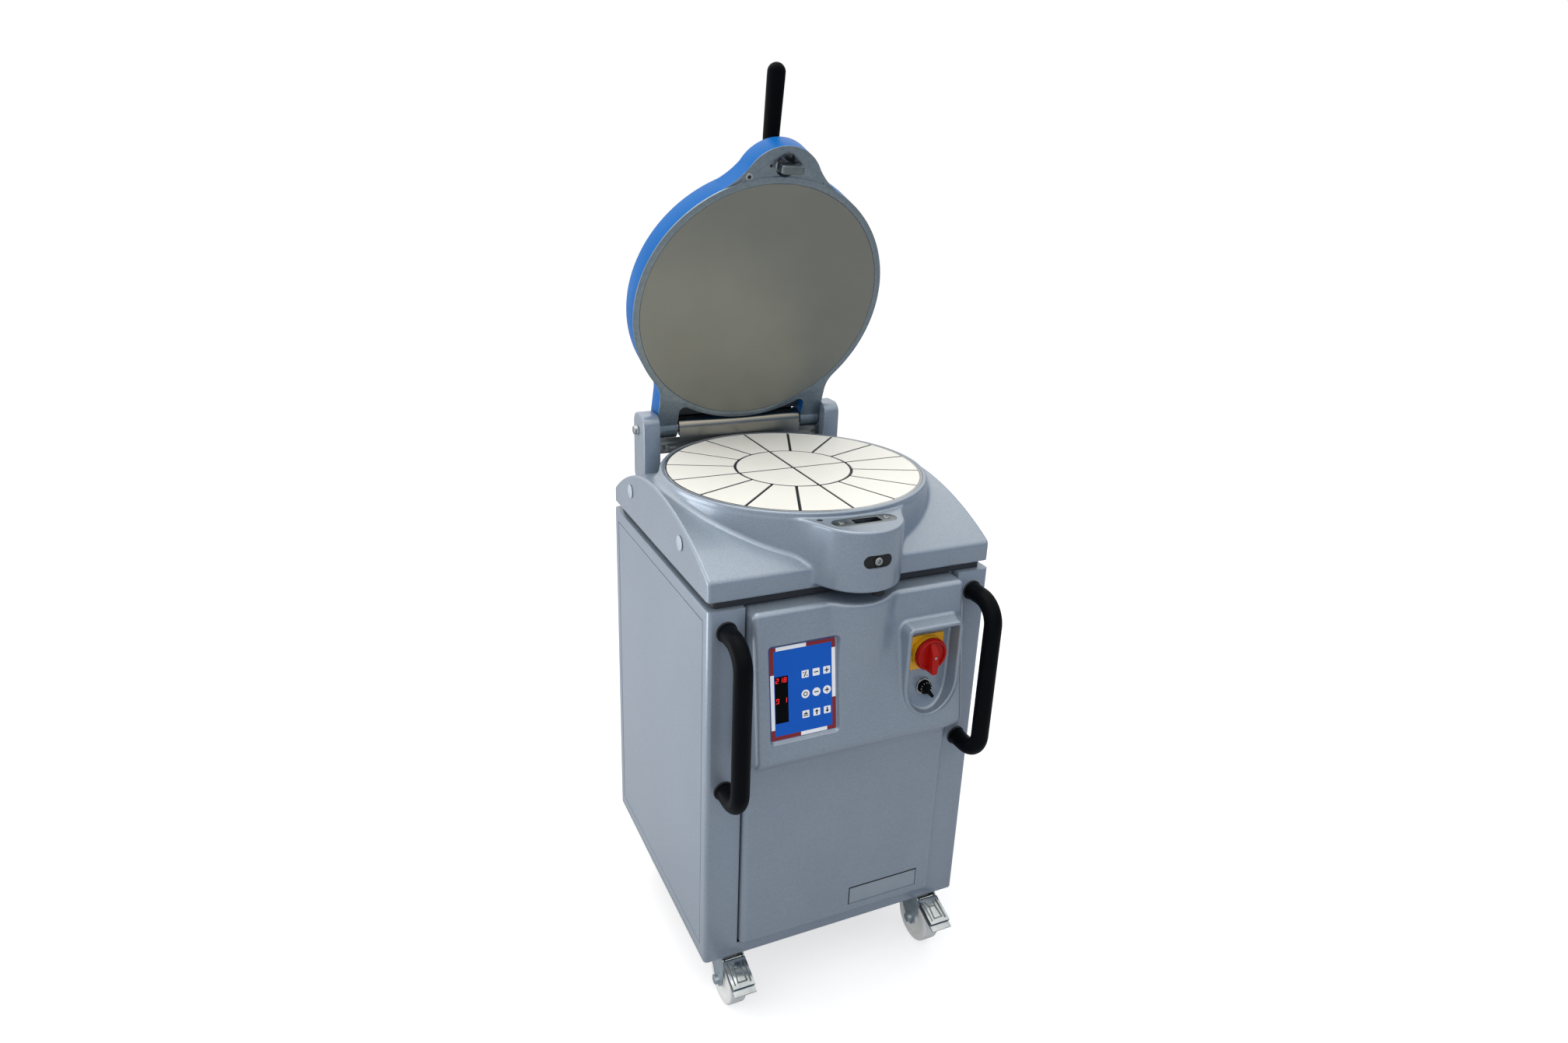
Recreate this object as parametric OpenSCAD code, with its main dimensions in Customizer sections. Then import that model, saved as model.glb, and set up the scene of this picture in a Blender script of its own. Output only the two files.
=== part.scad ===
// Hydraulic dough divider with a round press lid, twenty pressing segments and rising knives.
// Millimetres, +Z up, front towards -Y, origin on the floor under the middle of the footprint.

/* [Cabinet] */
// Width of the cabinet
cab_w = 540; // [530:1:580]
// Depth of the cabinet
cab_d = 534; // [526:1:560]
// Height of the cabinet's sides
cab_h = 711; // [700:1:760]
// Height of the cabinet's bottom edge above the floor
skirt_gap = 118; // [118:1:124]
// Corner radius of the cabinet
cab_r = 8; // [4:1:12]
// Thickness of the sheet metal
sheet = 2; // [1.5:0.5:3]
// Width of the border round each inset panel
border = 24; // [20:1:36]
// Width of the groove round each inset panel
groove = 2.5; // [1.5:0.5:4]
// Width of the ledge behind each inset panel
ledge = 12; // [8:1:18]
// Width of a front column beside the opening
column_w = 64; // [60:1:67]
// Depth of the returns beside the front opening
return_d = 22; // [18:1:24]

/* [Frame] */
// Thickness of the base plate
base_t = 6; // [4:1:8]
// Side of the square upright tubes
upright = 36; // [30:1:38]
// Wall of the upright tubes
upright_wall = 3; // [2:0.5:4]
// Distance from the cabinet's side to the middle of an upright
upright_in_x = 43; // [42:0.5:45]
// Distance from the cabinet's front or back to the middle of an upright
upright_in_y = 48; // [46:1:54]
// Thickness of the deck between the cabinet and the top cover
deck_t = 14; // [12:1:16]
// Inset of the deck's edge from the cabinet's sides
deck_in = 12; // [8:1:16]
// Thickness of the press bed plate
bed_t = 12; // [8:1:16]
// Distance of the press bed below the cabinet's top
bed_drop = 365; // [355:1:375]

/* [Front panel] */
// Gap between the front panel and the columns
panel_gap = 3; // [2:0.5:4]
// Wall of the moulded front panel
panel_t = 4; // [3:0.5:5]
// How far the panel's top edge stands proud of the columns
panel_top_proud = 27; // [24:1:32]
// How far the console's ridge stands proud of the columns
ridge_proud = 62; // [56:1:66]
// How far the lower part stands proud of the columns
low_proud = 12; // [10:1:16]
// Distance of the console's ridge below the cabinet's top
ridge_drop = 259; // [249:1:271]
// Distance of the fold under the ridge below the cabinet's top
fold_drop = 339; // [331:1:351]
// Height of the panel's lower edge above the cabinet's bottom
panel_low = 26; // [20:1:32]
// Gap between the panel's top edge and the cabinet's top
panel_drop = 3; // [2:1:8]
// Rounding of the panel's edges
panel_r = 10; // [8:1:12]
// Rounding of the ridge
ridge_r = 26; // [20:1:30]

/* [Controls] */
// Width of the keypad recess
key_w = 124; // [110:1:130]
// Height of the keypad recess
key_h = 186; // [170:1:194]
// Depth of the keypad recess
key_deep = 6; // [4:1:8]
// Distance of the keypad's recess from the panel's edge
key_edge = 26; // [21:1:36]
// Distance of the keypad's middle below the cabinet's top
key_drop = 155; // [149:1:161]
// Width of the switch hood
hood_w = 124; // [116:1:128]
// Height of the hood's top above the middle of its round end
hood_rise = 131; // [120:1:136]
// Distance of the hood from the panel's edge
hood_edge = 12; // [9:1:17]
// Distance of the middle of the hood's round end below the cabinet's top
hood_drop = 188; // [180:1:196]
// How far the hood's front stands proud of the columns
hood_proud = 61; // [58:1:64]
// Rim of the hood round its pocket
hood_rim = 13; // [10:1:16]
// How far the pocket's floor stands proud of the columns
pocket_proud = 32; // [30:1:34]
// Side of the main switch plate
switch_side = 66; // [60:1:70]
// Diameter of the main switch knob
switch_d = 56; // [50:1:58]
// Height of the switch's middle above the middle of the hood's round end
switch_up = 64; // [60:1:68]
// Diameter of the selector's bezel
bezel_d = 31; // [28:1:34]
// Distance of the selector below the middle of the hood's round end
selector_down = 6; // [2:1:10]

/* [Handles] */
// Diameter of the push handles
handle_d = 32; // [28:1:34]
// Distance between a push handle's legs
handle_span = 304; // [290:1:320]
// Distance from the column to the middle of the grip
handle_out = 72; // [66:1:80]
// Bend radius of the push handles
handle_bend = 42; // [36:1:50]
// Distance of a push handle's upper end below the cabinet's top
handle_drop = 38; // [30:1:61]

/* [Top cover] */
// Height of the dividing table above the cabinet's top
table_rise = 137; // [134:1:142]
// Wall of the top cover
cover_t = 5; // [4:0.5:6]
// Distance of the cover's front lip behind the cabinet's front
lip_in = 5; // [2:1:8]
// Radius of the vault in front of its crown
front_vault_r = 580; // [560:5:640]
// Radius of the vault behind its crown
rear_vault_r = 415; // [400:5:440]
// Distance of the vault's crown behind the table's middle
crown_y = 20; // [10:1:30]
// Distance of the vault's crown below the table
crown_drop = 15; // [12:1:20]
// Rounding along the cover's edges
cover_r = 7; // [4:1:9]
// Distance of the tub's rim from the cabinet's sides
tub_side = 21; // [19:0.5:22]
// Distance of the tub's rim from the cabinet's front and back
tub_end = 18; // [16:0.5:19]
// How much the tub widens towards its foot
tub_taper = 6; // [3:1:9]
// Radius of the flare at the tub's foot
flare_r = 48; // [36:1:56]
// Radius of the front nose
nose_r = 78; // [74:1:82]
// Distance of the nose's middle in front of the tub's rim
nose_ahead = 3; // [0:1:7]
// Radius of the hollow between nose and tub
nose_fillet = 42; // [34:1:50]
// Distance of the nose's top below the table
nose_drop = 9; // [8:1:11]
// Distance of the nose's lower edge above the cover's lower edge
nose_low = 7; // [5:1:10]
// Diameter of the side plugs
plug_d = 27; // [22:1:30]

/* [Dividing head] */
// Distance of the pressing segments' outer edge inside the tub's rim
seg_in = 13; // [12.5:0.25:14]
// Wall of the tank ring
tank_t = 4.4; // [4:0.1:4.6]
// Running gap round the segments
tank_gap = 0.6; // [0.5:0.1:0.8]
// Distance of the ring slot inside the segments' outer edge
ring_in = 127; // [122:1:132]
// Width of the knife slots
slot_w = 5; // [4.5:0.1:5.5]
// Thickness of the knives
knife_t = 3; // [2:0.2:3.4]
// Number of outer segments
outer_n = 16; // [12:4:20]
// Thickness of the segments
seg_t = 22; // [18:1:26]
// Stroke of the press
press_stroke = 85; // [70:1:90]
// Depth of the knife edges below the table at rest
knife_low = 2; // [1.5:0.5:3]
// Diameter of the posts under the outer segments
post_d = 16; // [12:1:18]
// Diameter of the posts under the inner segments
hub_post_d = 20; // [16:1:24]
// Thickness of the knife carrier
carrier_t = 12; // [10:1:14]
// Thickness of the press plate
press_t = 18; // [14:1:22]
// Diameter of the press ram
ram_d = 70; // [60:1:80]
// Diameter of the press cylinder
barrel_d = 120; // [110:1:130]
// Diameter of the knife rods
rod_d = 12; // [10:1:14]
// Diameter of the knife cylinders
lift_d = 38; // [32:1:40]

/* [Lid] */
// Angle by which the lid stands open
lid_open = 70; // [50:1:75]
// How far the press plate reaches past the segments' outer edge
plate_over = 5.5; // [5:0.25:6]
// Width of the bare ring round the press plate
lid_band = 12; // [10:0.5:14]
// Thickness of the lid
lid_t = 46; // [42:1:50]
// Thickness of the press plate
plate_t = 6; // [5:1:8]
// Gap between the closed lid and the table
lid_gap = 2; // [1.5:0.5:3]
// Radius of the lid's nose
lid_nose_r = 79; // [74:1:82]
// Distance of the middle of the lid's nose inside the tub's rim
lid_nose_in = 20; // [15:1:25]
// Radius of the hollow between the lid's nose and its ring
lid_nose_fillet = 25; // [18:1:32]
// Distance of the hinge axis behind the tub's rim
hinge_back = 29; // [27:0.5:31]
// Height of the hinge axis above the closed lid's face
hinge_up = 15; // [14:0.5:16]
// Distance of the lugs' outer sides inside the tub's side
lug_in = 67.5; // [65:0.5:69]
// Width of each lug
lug_w = 43; // [40:1:46]
// Radius of the lugs' ends
lug_r = 21; // [20:0.5:21.5]
// Radius of the hollow beside each lug
lug_fillet = 60; // [45:1:75]
// Depth of the nose pad below the ring's face
pad_deep = 2; // [1:0.5:3]
// Diameter of the round pocket in the nose
pocket_d = 42; // [36:1:46]
// Distance of the pocket's middle in front of the tub's rim
pocket_ahead = 25; // [23:1:28]
// Width of the latch block
latch_w = 44; // [40:1:46]
// Thickness of the latch block
latch_t = 14; // [12:1:15]
// Length of the latch block
latch_l = 25; // [24:0.5:26]
// Diameter of the lid handle
grip_d = 29; // [26:1:32]
// Length of the lid handle's straight grip
grip_l = 112; // [100:1:120]
// Bend radius of the lid handle
grip_bend = 30; // [26:1:36]
// Rise of the grip above the horizontal when the lid is closed
grip_rise = 12; // [8:1:18]

/* [Hinge] */
// Diameter of the hinge shaft
shaft_d = 25; // [22:0.5:26]
// Thickness of each tower
tower_w = 34; // [30:1:38]
// Depth of each tower
tower_d = 70; // [66:1:74]
// Height of a tower's top above the hinge axis
tower_up = 36; // [32:1:40]
// Rounding of the towers' tops
tower_r = 22; // [16:1:28]
// Radius of the rolled hinge guard
guard_r = 22; // [21.5:0.25:22.5]
// Thickness of the guard's sheet
guard_t = 1.5; // [1:0.25:2]

/* [Castors] */
// Diameter of the wheels
wheel_d = 100; // [96:1:102]
// Width of the wheels
wheel_w = 34; // [30:1:36]
// Height of the castors
castor_h = 128; // [126:1:130]
// Offset of the wheels from their swivel axes
castor_out = 38; // [34:1:42]
// Distance of the swivel axes from the cabinet's sides
castor_in_x = 58; // [56:1:66]
// Distance of the swivel axes from the cabinet's front and back
castor_in_y = 59; // [56:1:66]
// Thickness of the fork's legs
fork_t = 3; // [2.5:0.5:4]
// Slope of the brake pedals
pedal_slope = 20; // [16:1:22]

/* [Hidden] */
$fn = 96;
// Overrun of every cut
over = 1;
// Running clearance round shafts
run = 0.05;
// Clearance between pieces that pass each other
clear = 0.5;
// Number of facets of a rounded hull
hull_fn = 32;
// Number of inner segments
inner_n = 4;

// Heights
z_base = castor_h;
z_floor_top = z_base + base_t;
z_cab = skirt_gap;
z_top = skirt_gap + cab_h;
z_cover = z_top + deck_t;
z_table = z_top + table_rise;
z_crown = z_table - crown_drop;
z_nose = z_table - nose_drop;
z_lid = z_table + lid_gap;
z_hinge = z_lid + hinge_up;
z_lid_top = z_lid + lid_t;
z_bed = z_top - bed_drop;

// Heights above the cabinet's lower edge that follow its top
ridge_h = cab_h - ridge_drop;
fold_h = cab_h - fold_drop;
key_z = cab_h - key_drop;
hood_z = cab_h - hood_drop;
handle_top = cab_h - handle_drop;

// Widths and radii that follow the cabinet
front_half = cab_w / 2 - column_w;
tub_r = min(cab_w / 2 - tub_side, cab_d / 2 - tub_end);
seg_r = tub_r - seg_in;
ring_r = seg_r - ring_in;
plate_r = seg_r + plate_over;
nose_out = tub_r + nose_ahead;
lid_nose_out = tub_r - lid_nose_in;
pocket_out = tub_r + pocket_ahead;
hinge_y = tub_r + hinge_back;
lug_half = tub_r - lug_in;

// Faces in depth
y_front = -cab_d / 2;
y_rear = cab_d / 2;
y_lip = y_front + lip_in;
// How far a tower reaches behind the lugs' ends
tower_back = 3;
tower_rear = hinge_y + lug_r + tower_back;
front_reach = cab_d / 2 + handle_out + handle_d / 2;
shift_y = (front_reach - tower_rear) / 2;

// Paint and materials
silver = "#9aa6b4";
blue = "#2d72d2";
steel = "#b9bcc0";
zinc = "#c9ccd0";
black = "#16181c";
white = "#efeee6";
dark = "#3b3f46";

// Shared shapes

// Moves a piece from the table's middle to the footprint's middle
module place() {
    translate([0, shift_y, 0]) children();
}

// Turns a piece of the closed lid to the angle at which the lid stands open
module on_lid() {
    place() translate([0, hinge_y, z_hinge]) rotate([-lid_open, 0, 0])
        translate([0, -hinge_y, -z_hinge]) children();
}

module round_rect(w, d, r) {
    square([w - 2 * r, d], center = true);
    square([w, d - 2 * r], center = true);
    for (x = [-1, 1], y = [-1, 1])
        translate([x * (w / 2 - r), y * (d / 2 - r)]) circle(r);
}

module obround(l, w) {
    square([l - w, w], center = true);
    for (x = [-1, 1]) translate([x * (l - w) / 2, 0]) circle(w / 2);
}

module tube(r_out, r_in, h) {
    difference() {
        cylinder(r = r_out, h = h);
        translate([0, 0, -over]) cylinder(r = r_in, h = h + 2 * over);
    }
}

// Extrudes an outline drawn in Y and Z across the width
module across(w) {
    rotate([90, 0, 90]) linear_extrude(w, center = true) children();
}

// Extrudes an outline drawn in X and Z towards the front
module forward(d) {
    rotate([90, 0, 0]) linear_extrude(d) children();
}

// Fills the hollow between a circle of radius ra and one of radius rb that lies out mm in front
module hollow_blend(ra, rb, out, rf) {
    // The hollow's circle bites a hair into both, so that the outlines cross cleanly
    da = ra + rf - run;
    db = rb + rf - run;
    fy = (da * da - db * db + out * out) / (2 * out);
    fx = sqrt(da * da - fy * fy);
    for (s = [-1, 1]) difference() {
        polygon([[0, 0], [s * fx, -fy], [0, -out]]);
        translate([s * fx, -fy]) circle(rf);
    }
}

// Cabinet and frame

panel_in = border + groove;

module base_frame() {
    color(dark) place() translate([0, 0, z_base])
        linear_extrude(base_t) round_rect(cab_w - 2 * sheet, cab_d - 2 * sheet, cab_r);
}

bed_hole = barrel_d / 2 + run;
deck_hole = seg_r + tank_gap;

module main_frame() {
    ux = cab_w / 2 - upright_in_x;
    uy = cab_d / 2 - upright_in_y;
    color(dark) place() {
        for (x = [-ux, ux], y = [-uy, uy]) translate([x, y, z_floor_top])
            linear_extrude(z_top - z_floor_top + over) difference() {
                square(upright, center = true);
                square(upright - 2 * upright_wall, center = true);
            }
        translate([0, 0, z_top]) linear_extrude(deck_t) difference() {
            round_rect(cab_w - 2 * deck_in, cab_d - 2 * deck_in, cab_r);
            circle(deck_hole);
        }
        translate([0, 0, z_bed]) linear_extrude(bed_t) difference() {
            square([2 * ux - upright + 2 * over, 2 * uy + upright], center = true);
            circle(bed_hole);
        }
    }
}

// Frame of a panel window in Y and Z or X and Z: the window and the ledge behind it
module window(w, inset) {
    translate([0, (z_cab + z_top) / 2])
        square([w - 2 * inset, cab_h - 2 * inset], center = true);
}

module window_ledge(w) {
    difference() {
        window(w, border - ledge / 2);
        window(w, border + ledge);
    }
}

module window_seam(w) {
    difference() {
        window(w, border - ledge / 2 + run);
        window(w, border - run);
    }
}

module cabinet_shell() {
    open_h = z_top - z_cab - panel_low;
    color(silver) place() {
        difference() {
            translate([0, 0, z_cab]) linear_extrude(cab_h) round_rect(cab_w, cab_d, cab_r);
            translate([0, 0, z_cab - over]) linear_extrude(cab_h - sheet + over)
                round_rect(cab_w - 2 * sheet, cab_d - 2 * sheet, cab_r - sheet);
            translate([0, 0, z_top - sheet - over]) linear_extrude(sheet + 2 * over)
                round_rect(cab_w - 2 * border, cab_d - 2 * border, cab_r);
            across(cab_w + 2 * over) window(cab_d, border);
            translate([0, y_rear + over, 0]) forward(border) window(cab_w, border);
            translate([-front_half, y_front - over, z_cab + panel_low])
                cube([2 * front_half, border + over, open_h + over]);
        }
        for (s = [-1, 1]) translate([s * (cab_w / 2 - sheet - sheet / 2), 0, 0])
            across(sheet) window_ledge(cab_d);
        translate([0, y_rear - sheet, 0]) forward(sheet) window_ledge(cab_w);
        // Seams that hold the ledges to the sheet
        for (s = [-1, 1]) translate([s * (cab_w / 2 - sheet - sheet / 2), 0, 0])
            across(sheet + 2 * run) window_seam(cab_d);
        translate([0, y_rear - sheet + run, 0]) forward(sheet + 2 * run) window_seam(cab_w);
        // Returns and ledges beside the front opening
        for (s = [-1, 1]) {
            translate([s * (front_half + sheet / 2), y_front + (return_d + run) / 2, z_cab + panel_low])
                linear_extrude(open_h - sheet) square([sheet, return_d + run], center = true);
            translate([s * (front_half - ledge / 2 + sheet / 2), y_front + return_d + sheet / 2,
                       z_cab + panel_low])
                linear_extrude(open_h - sheet) square([ledge + sheet, sheet], center = true);
        }
    }
}

module side_panel(s) {
    color(silver) place() translate([s * (cab_w / 2 - sheet / 2), 0, 0])
        across(sheet) window(cab_d, panel_in);
}

module left_side_panel() { side_panel(-1); }

module right_side_panel() { side_panel(1); }

vent_n = 9;
vent_w = 90;
vent_h = 6;
vent_pitch = 16;
vent_low = 90;

module rear_panel() {
    color(silver) place() translate([0, y_rear, 0]) forward(sheet) difference() {
        window(cab_w, panel_in);
        for (i = [0 : vent_n - 1], s = [-1, 1])
            translate([s * vent_w, z_cab + border + vent_low + i * vent_pitch])
                obround(vent_w, vent_h);
    }
}

// Front panel

panel_half = front_half - panel_gap;
key_x = key_edge + key_w / 2 - panel_half;
hood_x = panel_half - hood_edge - hood_w / 2;
z_panel_top = z_top - panel_drop;
z_panel_low = z_cab + panel_low;
z_ridge = z_cab + ridge_h;
z_fold = z_cab + fold_h;
y_panel_back = y_front + return_d;

// Lean of the console's face, from the two roundings that it touches
face_dy = ridge_proud - ridge_r - panel_top_proud + panel_r;
face_dz = z_panel_top - panel_r - z_ridge;
face_lean = atan(face_dy / face_dz) + asin((ridge_r - panel_r) / norm([face_dy, face_dz]));
face_top_y = y_front - panel_top_proud + panel_r - panel_r * cos(face_lean);
face_top_z = z_panel_top - panel_r + panel_r * sin(face_lean);

function face_y(z) = face_top_y - (face_top_z - z) * tan(face_lean);

// Turns a piece so that its front lies in the console's face at the given place
module on_face(x, z) {
    translate([x, face_y(z), z]) rotate([-face_lean, 0, 0]) children();
}

// Row of two balls across the panel
module edge_balls(proud, z, r, inset) {
    for (s = [-1, 1]) translate([s * (panel_half - inset - r), y_front - proud + inset + r, z])
        sphere(r = r, $fn = hull_fn);
}

module back_strip(z0, z1, inset) {
    translate([inset - panel_half, y_panel_back - sheet, z0])
        cube([2 * (panel_half - inset), sheet, z1 - z0]);
}

module console_body(inset) {
    hull() {
        edge_balls(panel_top_proud, z_panel_top - panel_r, panel_r - inset, inset);
        edge_balls(ridge_proud, z_ridge, ridge_r - inset, inset);
        edge_balls(low_proud, z_fold, panel_r - inset, inset);
        back_strip(z_fold, z_panel_top - inset, inset);
    }
}

module lower_body(inset) {
    hull() {
        edge_balls(low_proud, z_fold + panel_r, panel_r - inset, inset);
        edge_balls(low_proud, z_panel_low + panel_r, panel_r - inset, inset);
        back_strip(z_panel_low + inset, z_fold + panel_r, inset);
    }
}

module hood_outline(rim) {
    r = hood_w / 2 - rim;
    translate([hood_x, z_cab + hood_z]) {
        circle(r);
        translate([-r, 0]) square([2 * r, hood_rise - rim]);
    }
}

// Upright half round under the nose, which the leaning console swallows lower down
bulge_r = 88;
bulge_proud = 51;

module bulge(inset) {
    r = bulge_r - inset;
    z0 = z_ridge;
    h = z_panel_top - z0 - inset;
    e = panel_r - inset;
    intersection() {
        translate([0, y_front - bulge_proud + bulge_r, z0]) rotate_extrude() {
            square([r - e, h]);
            square([r, h - e]);
            translate([r - e, h - e]) circle(e);
        }
        translate([-bulge_r, y_front - 2 * bulge_r, z0]) cube([2 * bulge_r, 2 * bulge_r + inset, cab_h]);
    }
}

badge_w = 151;
badge_h = 41;
badge_edge = 41.5;
badge_x = panel_half - badge_edge - badge_w / 2;
badge_z = 81;
badge_deep = 2;

module front_panel() {
    color(silver) place() difference() {
        union() {
            difference() {
                union() {
                    console_body(0);
                    lower_body(0);
                    bulge(0);
                }
                translate([0, over, 0]) {
                    console_body(panel_t);
                    lower_body(panel_t);
                }
                bulge(panel_t);
            }
            on_face(key_x, z_cab + key_z) translate([0, key_deep + panel_t, 0])
                forward(key_deep + panel_t - over) round_rect(key_w + border, key_h + border, panel_r);
            translate([0, y_front - pocket_proud + panel_t, 0])
                forward(hood_proud - pocket_proud + panel_t) hood_outline(0);
        }
        on_face(key_x, z_cab + key_z) translate([0, key_deep, 0])
            forward(key_deep + over) round_rect(key_w, key_h, panel_r / 2);
        translate([0, y_front - pocket_proud, 0])
            forward(hood_proud - pocket_proud + over) hood_outline(hood_rim);
        translate([badge_x, y_front - low_proud + badge_deep, z_cab + badge_z])
            forward(badge_deep + over) square([badge_w, badge_h], center = true);
        for (p = [[switch_up, switch_bore], [-selector_down, selector_bore]])
            translate([hood_x, y_front - pocket_proud + panel_t + over, z_cab + hood_z + p[0]])
                rotate([90, 0, 0]) cylinder(d = p[1], h = panel_t + 2 * over);
    }
}

// Controls

switch_bore = 12;
selector_bore = 22.5;
key_gap = 2;
key_t = 1.5;

module keypad_panel() {
    color(blue) place() on_face(key_x, z_cab + key_z) translate([0, key_deep, 0])
        forward(key_t) round_rect(key_w - 2 * key_gap, key_h - 2 * key_gap, panel_r / 2);
}

// Turns a piece so that it stands out of the hood's pocket at the given height
module in_pocket(up) {
    translate([hood_x, y_front - pocket_proud, z_cab + hood_z + up]) rotate([90, 0, 0]) children();
}

switch_plate_t = 3;
switch_plate_r = 4;
switch_base_t = 13;
switch_bar_w = 14;
switch_bar_t = 17;
switch_stem_d = 8;
switch_lift = 0.4;

module switch_plate() {
    color("#f2b705") place() in_pocket(switch_up) difference() {
        linear_extrude(switch_plate_t) round_rect(switch_side, switch_side, switch_plate_r);
        translate([0, 0, -over])
            cylinder(d = switch_stem_d + 2 * run, h = switch_plate_t + 2 * over);
    }
}

module switch_knob() {
    color("#d2261c") place() in_pocket(switch_up) {
        translate([0, 0, -panel_t]) cylinder(d = switch_stem_d, h = panel_t + switch_plate_t + over);
        translate([0, 0, switch_plate_t + switch_lift]) {
            cylinder(d = switch_d, h = switch_base_t);
            linear_extrude(switch_base_t + switch_bar_t)
                obround_upright(switch_d - 2 * over, switch_bar_w);
        }
    }
}

module obround_upright(l, w) {
    rotate(90) obround(l, w);
}

bezel_t = 5;
bezel_floor = 2;
selector_stem_d = 14;
selector_d = 24;
selector_t = 10;
selector_lever_w = 6;
selector_lever_t = 9;
// Angle of the selector's lever as the photo shows it, from straight down
selector_turn = 35;
barrel_l = 26;

module selector_bezel() {
    color(steel) place() in_pocket(-selector_down) {
        difference() {
            union() {
                cylinder(d = bezel_d, h = bezel_t);
                translate([0, 0, -barrel_l]) cylinder(r = selector_bore / 2 - run, h = barrel_l + over);
            }
            translate([0, 0, bezel_floor]) cylinder(r = selector_d / 2 + run, h = bezel_t);
            translate([0, 0, -barrel_l - over])
                cylinder(r = selector_stem_d / 2 + run, h = barrel_l + bezel_t);
        }
    }
}

module selector_knob() {
    z0 = bezel_floor + switch_lift;
    color(black) place() in_pocket(-selector_down) {
        translate([0, 0, z0]) cylinder(d = selector_d, h = selector_t);
        translate([0, 0, -barrel_l]) cylinder(d = selector_stem_d, h = barrel_l + z0 + over);
        rotate(selector_turn) translate([0, -selector_d / 4, bezel_t + switch_lift])
            linear_extrude(selector_t - bezel_t + selector_lever_t)
                obround_upright(selector_d + selector_lever_w, selector_lever_w);
    }
}

box_w = 130;
box_h = 150;
box_d = 34;
box_drop = 285;
box_up = cab_h - box_drop;

// Electronics box on the left front upright
module control_box() {
    x1 = -(cab_w / 2 - upright_in_x - upright / 2);
    y1 = y_front + upright_in_y - upright / 2;
    color(dark) place() translate([x1, y1, z_floor_top + box_up]) cube([box_w, box_d, box_h]);
}

// Push handles

module handle_half() {
    leg = handle_out - handle_bend;
    r = handle_d / 2;
    translate([0, 0, handle_span / 2]) rotate([90, 0, 0]) cylinder(r = r, h = leg);
    translate([0, -leg, handle_span / 2 - handle_bend]) rotate([180, -90, 0])
        rotate_extrude(angle = 90) translate([handle_bend, 0]) circle(r);
    translate([0, -handle_out, 0]) cylinder(r = r, h = handle_span / 2 - handle_bend);
}

module push_handle(s) {
    x = (cab_w / 2 + front_half) / 2;
    color(black) place() translate([s * x, y_front, z_cab + handle_top - handle_span / 2]) {
        handle_half();
        mirror([0, 0, 1]) handle_half();
    }
}

module left_handle() { push_handle(-1); }

module right_handle() { push_handle(1); }

// Top cover

cover_d = y_rear - y_lip;
tub_low_r = tub_r + tub_taper;
rim_r = 3.5;
tank_fit = 0.4;
tub_bore = seg_r + tank_gap + tank_t + tank_fit;

// Half of the vault, turned about an axis along X, with its edges rounded
module half_vault(r, w, s) {
    e = cover_r;
    intersection() {
        translate([0, crown_y, z_crown - r]) rotate([0, 90, 0]) rotate_extrude($fn = 2 * $fn) {
            translate([0, -w / 2]) square([r - e, w]);
            translate([0, e - w / 2]) square([r, w - 2 * e]);
            for (k = [-1, 1]) translate([r - e, k * (w / 2 - e)]) circle(e);
        }
        translate([-cab_w / 2, s < 0 ? y_lip - over : crown_y, z_cover])
            cube([cab_w, s < 0 ? crown_y - y_lip + over : y_rear - crown_y + over, z_table]);
    }
}

module vault(inset) {
    w = cab_w - 2 * inset;
    intersection() {
        translate([0, 0, -inset]) {
            half_vault(front_vault_r, w, -1);
            half_vault(rear_vault_r, w, 1);
        }
        translate([0, y_lip + cover_d / 2, z_cover - inset])
            linear_extrude(z_table) round_rect(w, cover_d - 2 * inset, cover_r);
    }
}

module tub(inset) {
    rotate_extrude() {
        r0 = tub_low_r - inset;
        polygon([[0, z_cover - inset], [r0, z_cover - inset], [r0, z_cover + flare_r],
                 [tub_r - inset, z_table - rim_r - inset], [0, z_table - rim_r - inset]]);
        square([tub_r - rim_r - inset, z_table - inset]);
        translate([tub_r - rim_r - inset, z_table - rim_r - inset]) circle(rim_r);
        // Concave flare at the foot
        difference() {
            translate([r0, z_cover - inset]) square([flare_r, flare_r]);
            translate([r0 + flare_r, z_cover - inset + flare_r]) circle(flare_r);
        }
    }
}

module nose_outline(inset) {
    translate([0, -nose_out]) circle(nose_r - inset);
    circle(tub_r - inset);
    hollow_blend(tub_r - inset, nose_r - inset, nose_out, nose_fillet + inset);
}

module nose(inset) {
    z0 = z_cover + nose_low;
    translate([0, 0, inset > 0 ? z_cover - over : z0])
        linear_extrude(z_nose - (inset > 0 ? z_cover - over : z0) - 2 * inset) nose_outline(inset);
}

module cover_outer() {
    intersection() {
        union() {
            vault(0);
            tub(0);
        }
        translate([0, 0, z_cover]) linear_extrude(z_table) {
            translate([0, y_lip + cover_d / 2]) round_rect(cab_w, cover_d, cover_r);
        }
    }
    nose(0);
}

module cover_inner() {
    intersection() {
        vault(cover_t);
        translate([0, 0, z_cover - over]) linear_extrude(z_table)
            translate([0, y_lip + cover_d / 2]) round_rect(cab_w - 2 * cover_t, cover_d - 2 * cover_t,
                                                           cover_r);
    }
    intersection() {
        tub(cover_t);
        translate([0, 0, z_cover - over]) cylinder(r = tub_r, h = z_table - rim_r - z_cover - cover_t);
        translate([0, 0, z_cover - over]) linear_extrude(z_table)
            translate([0, y_lip + cover_d / 2]) round_rect(cab_w - 2 * cover_t, cover_d - 2 * cover_t,
                                                           cover_r);
    }
    nose(cover_t);
}

striker_l = 118;
striker_w = 34;
striker_t = 3;
striker_out = pocket_out;
latch_x = 4;
slot_play = 3;
window_l = 52;
window_h = 23;
window_up = 62;
window_z = z_cover + window_up;
sensor_d = 11;
sensor_x = -70;
sensor_out = 250;
striker_screw_d = 9;

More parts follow.
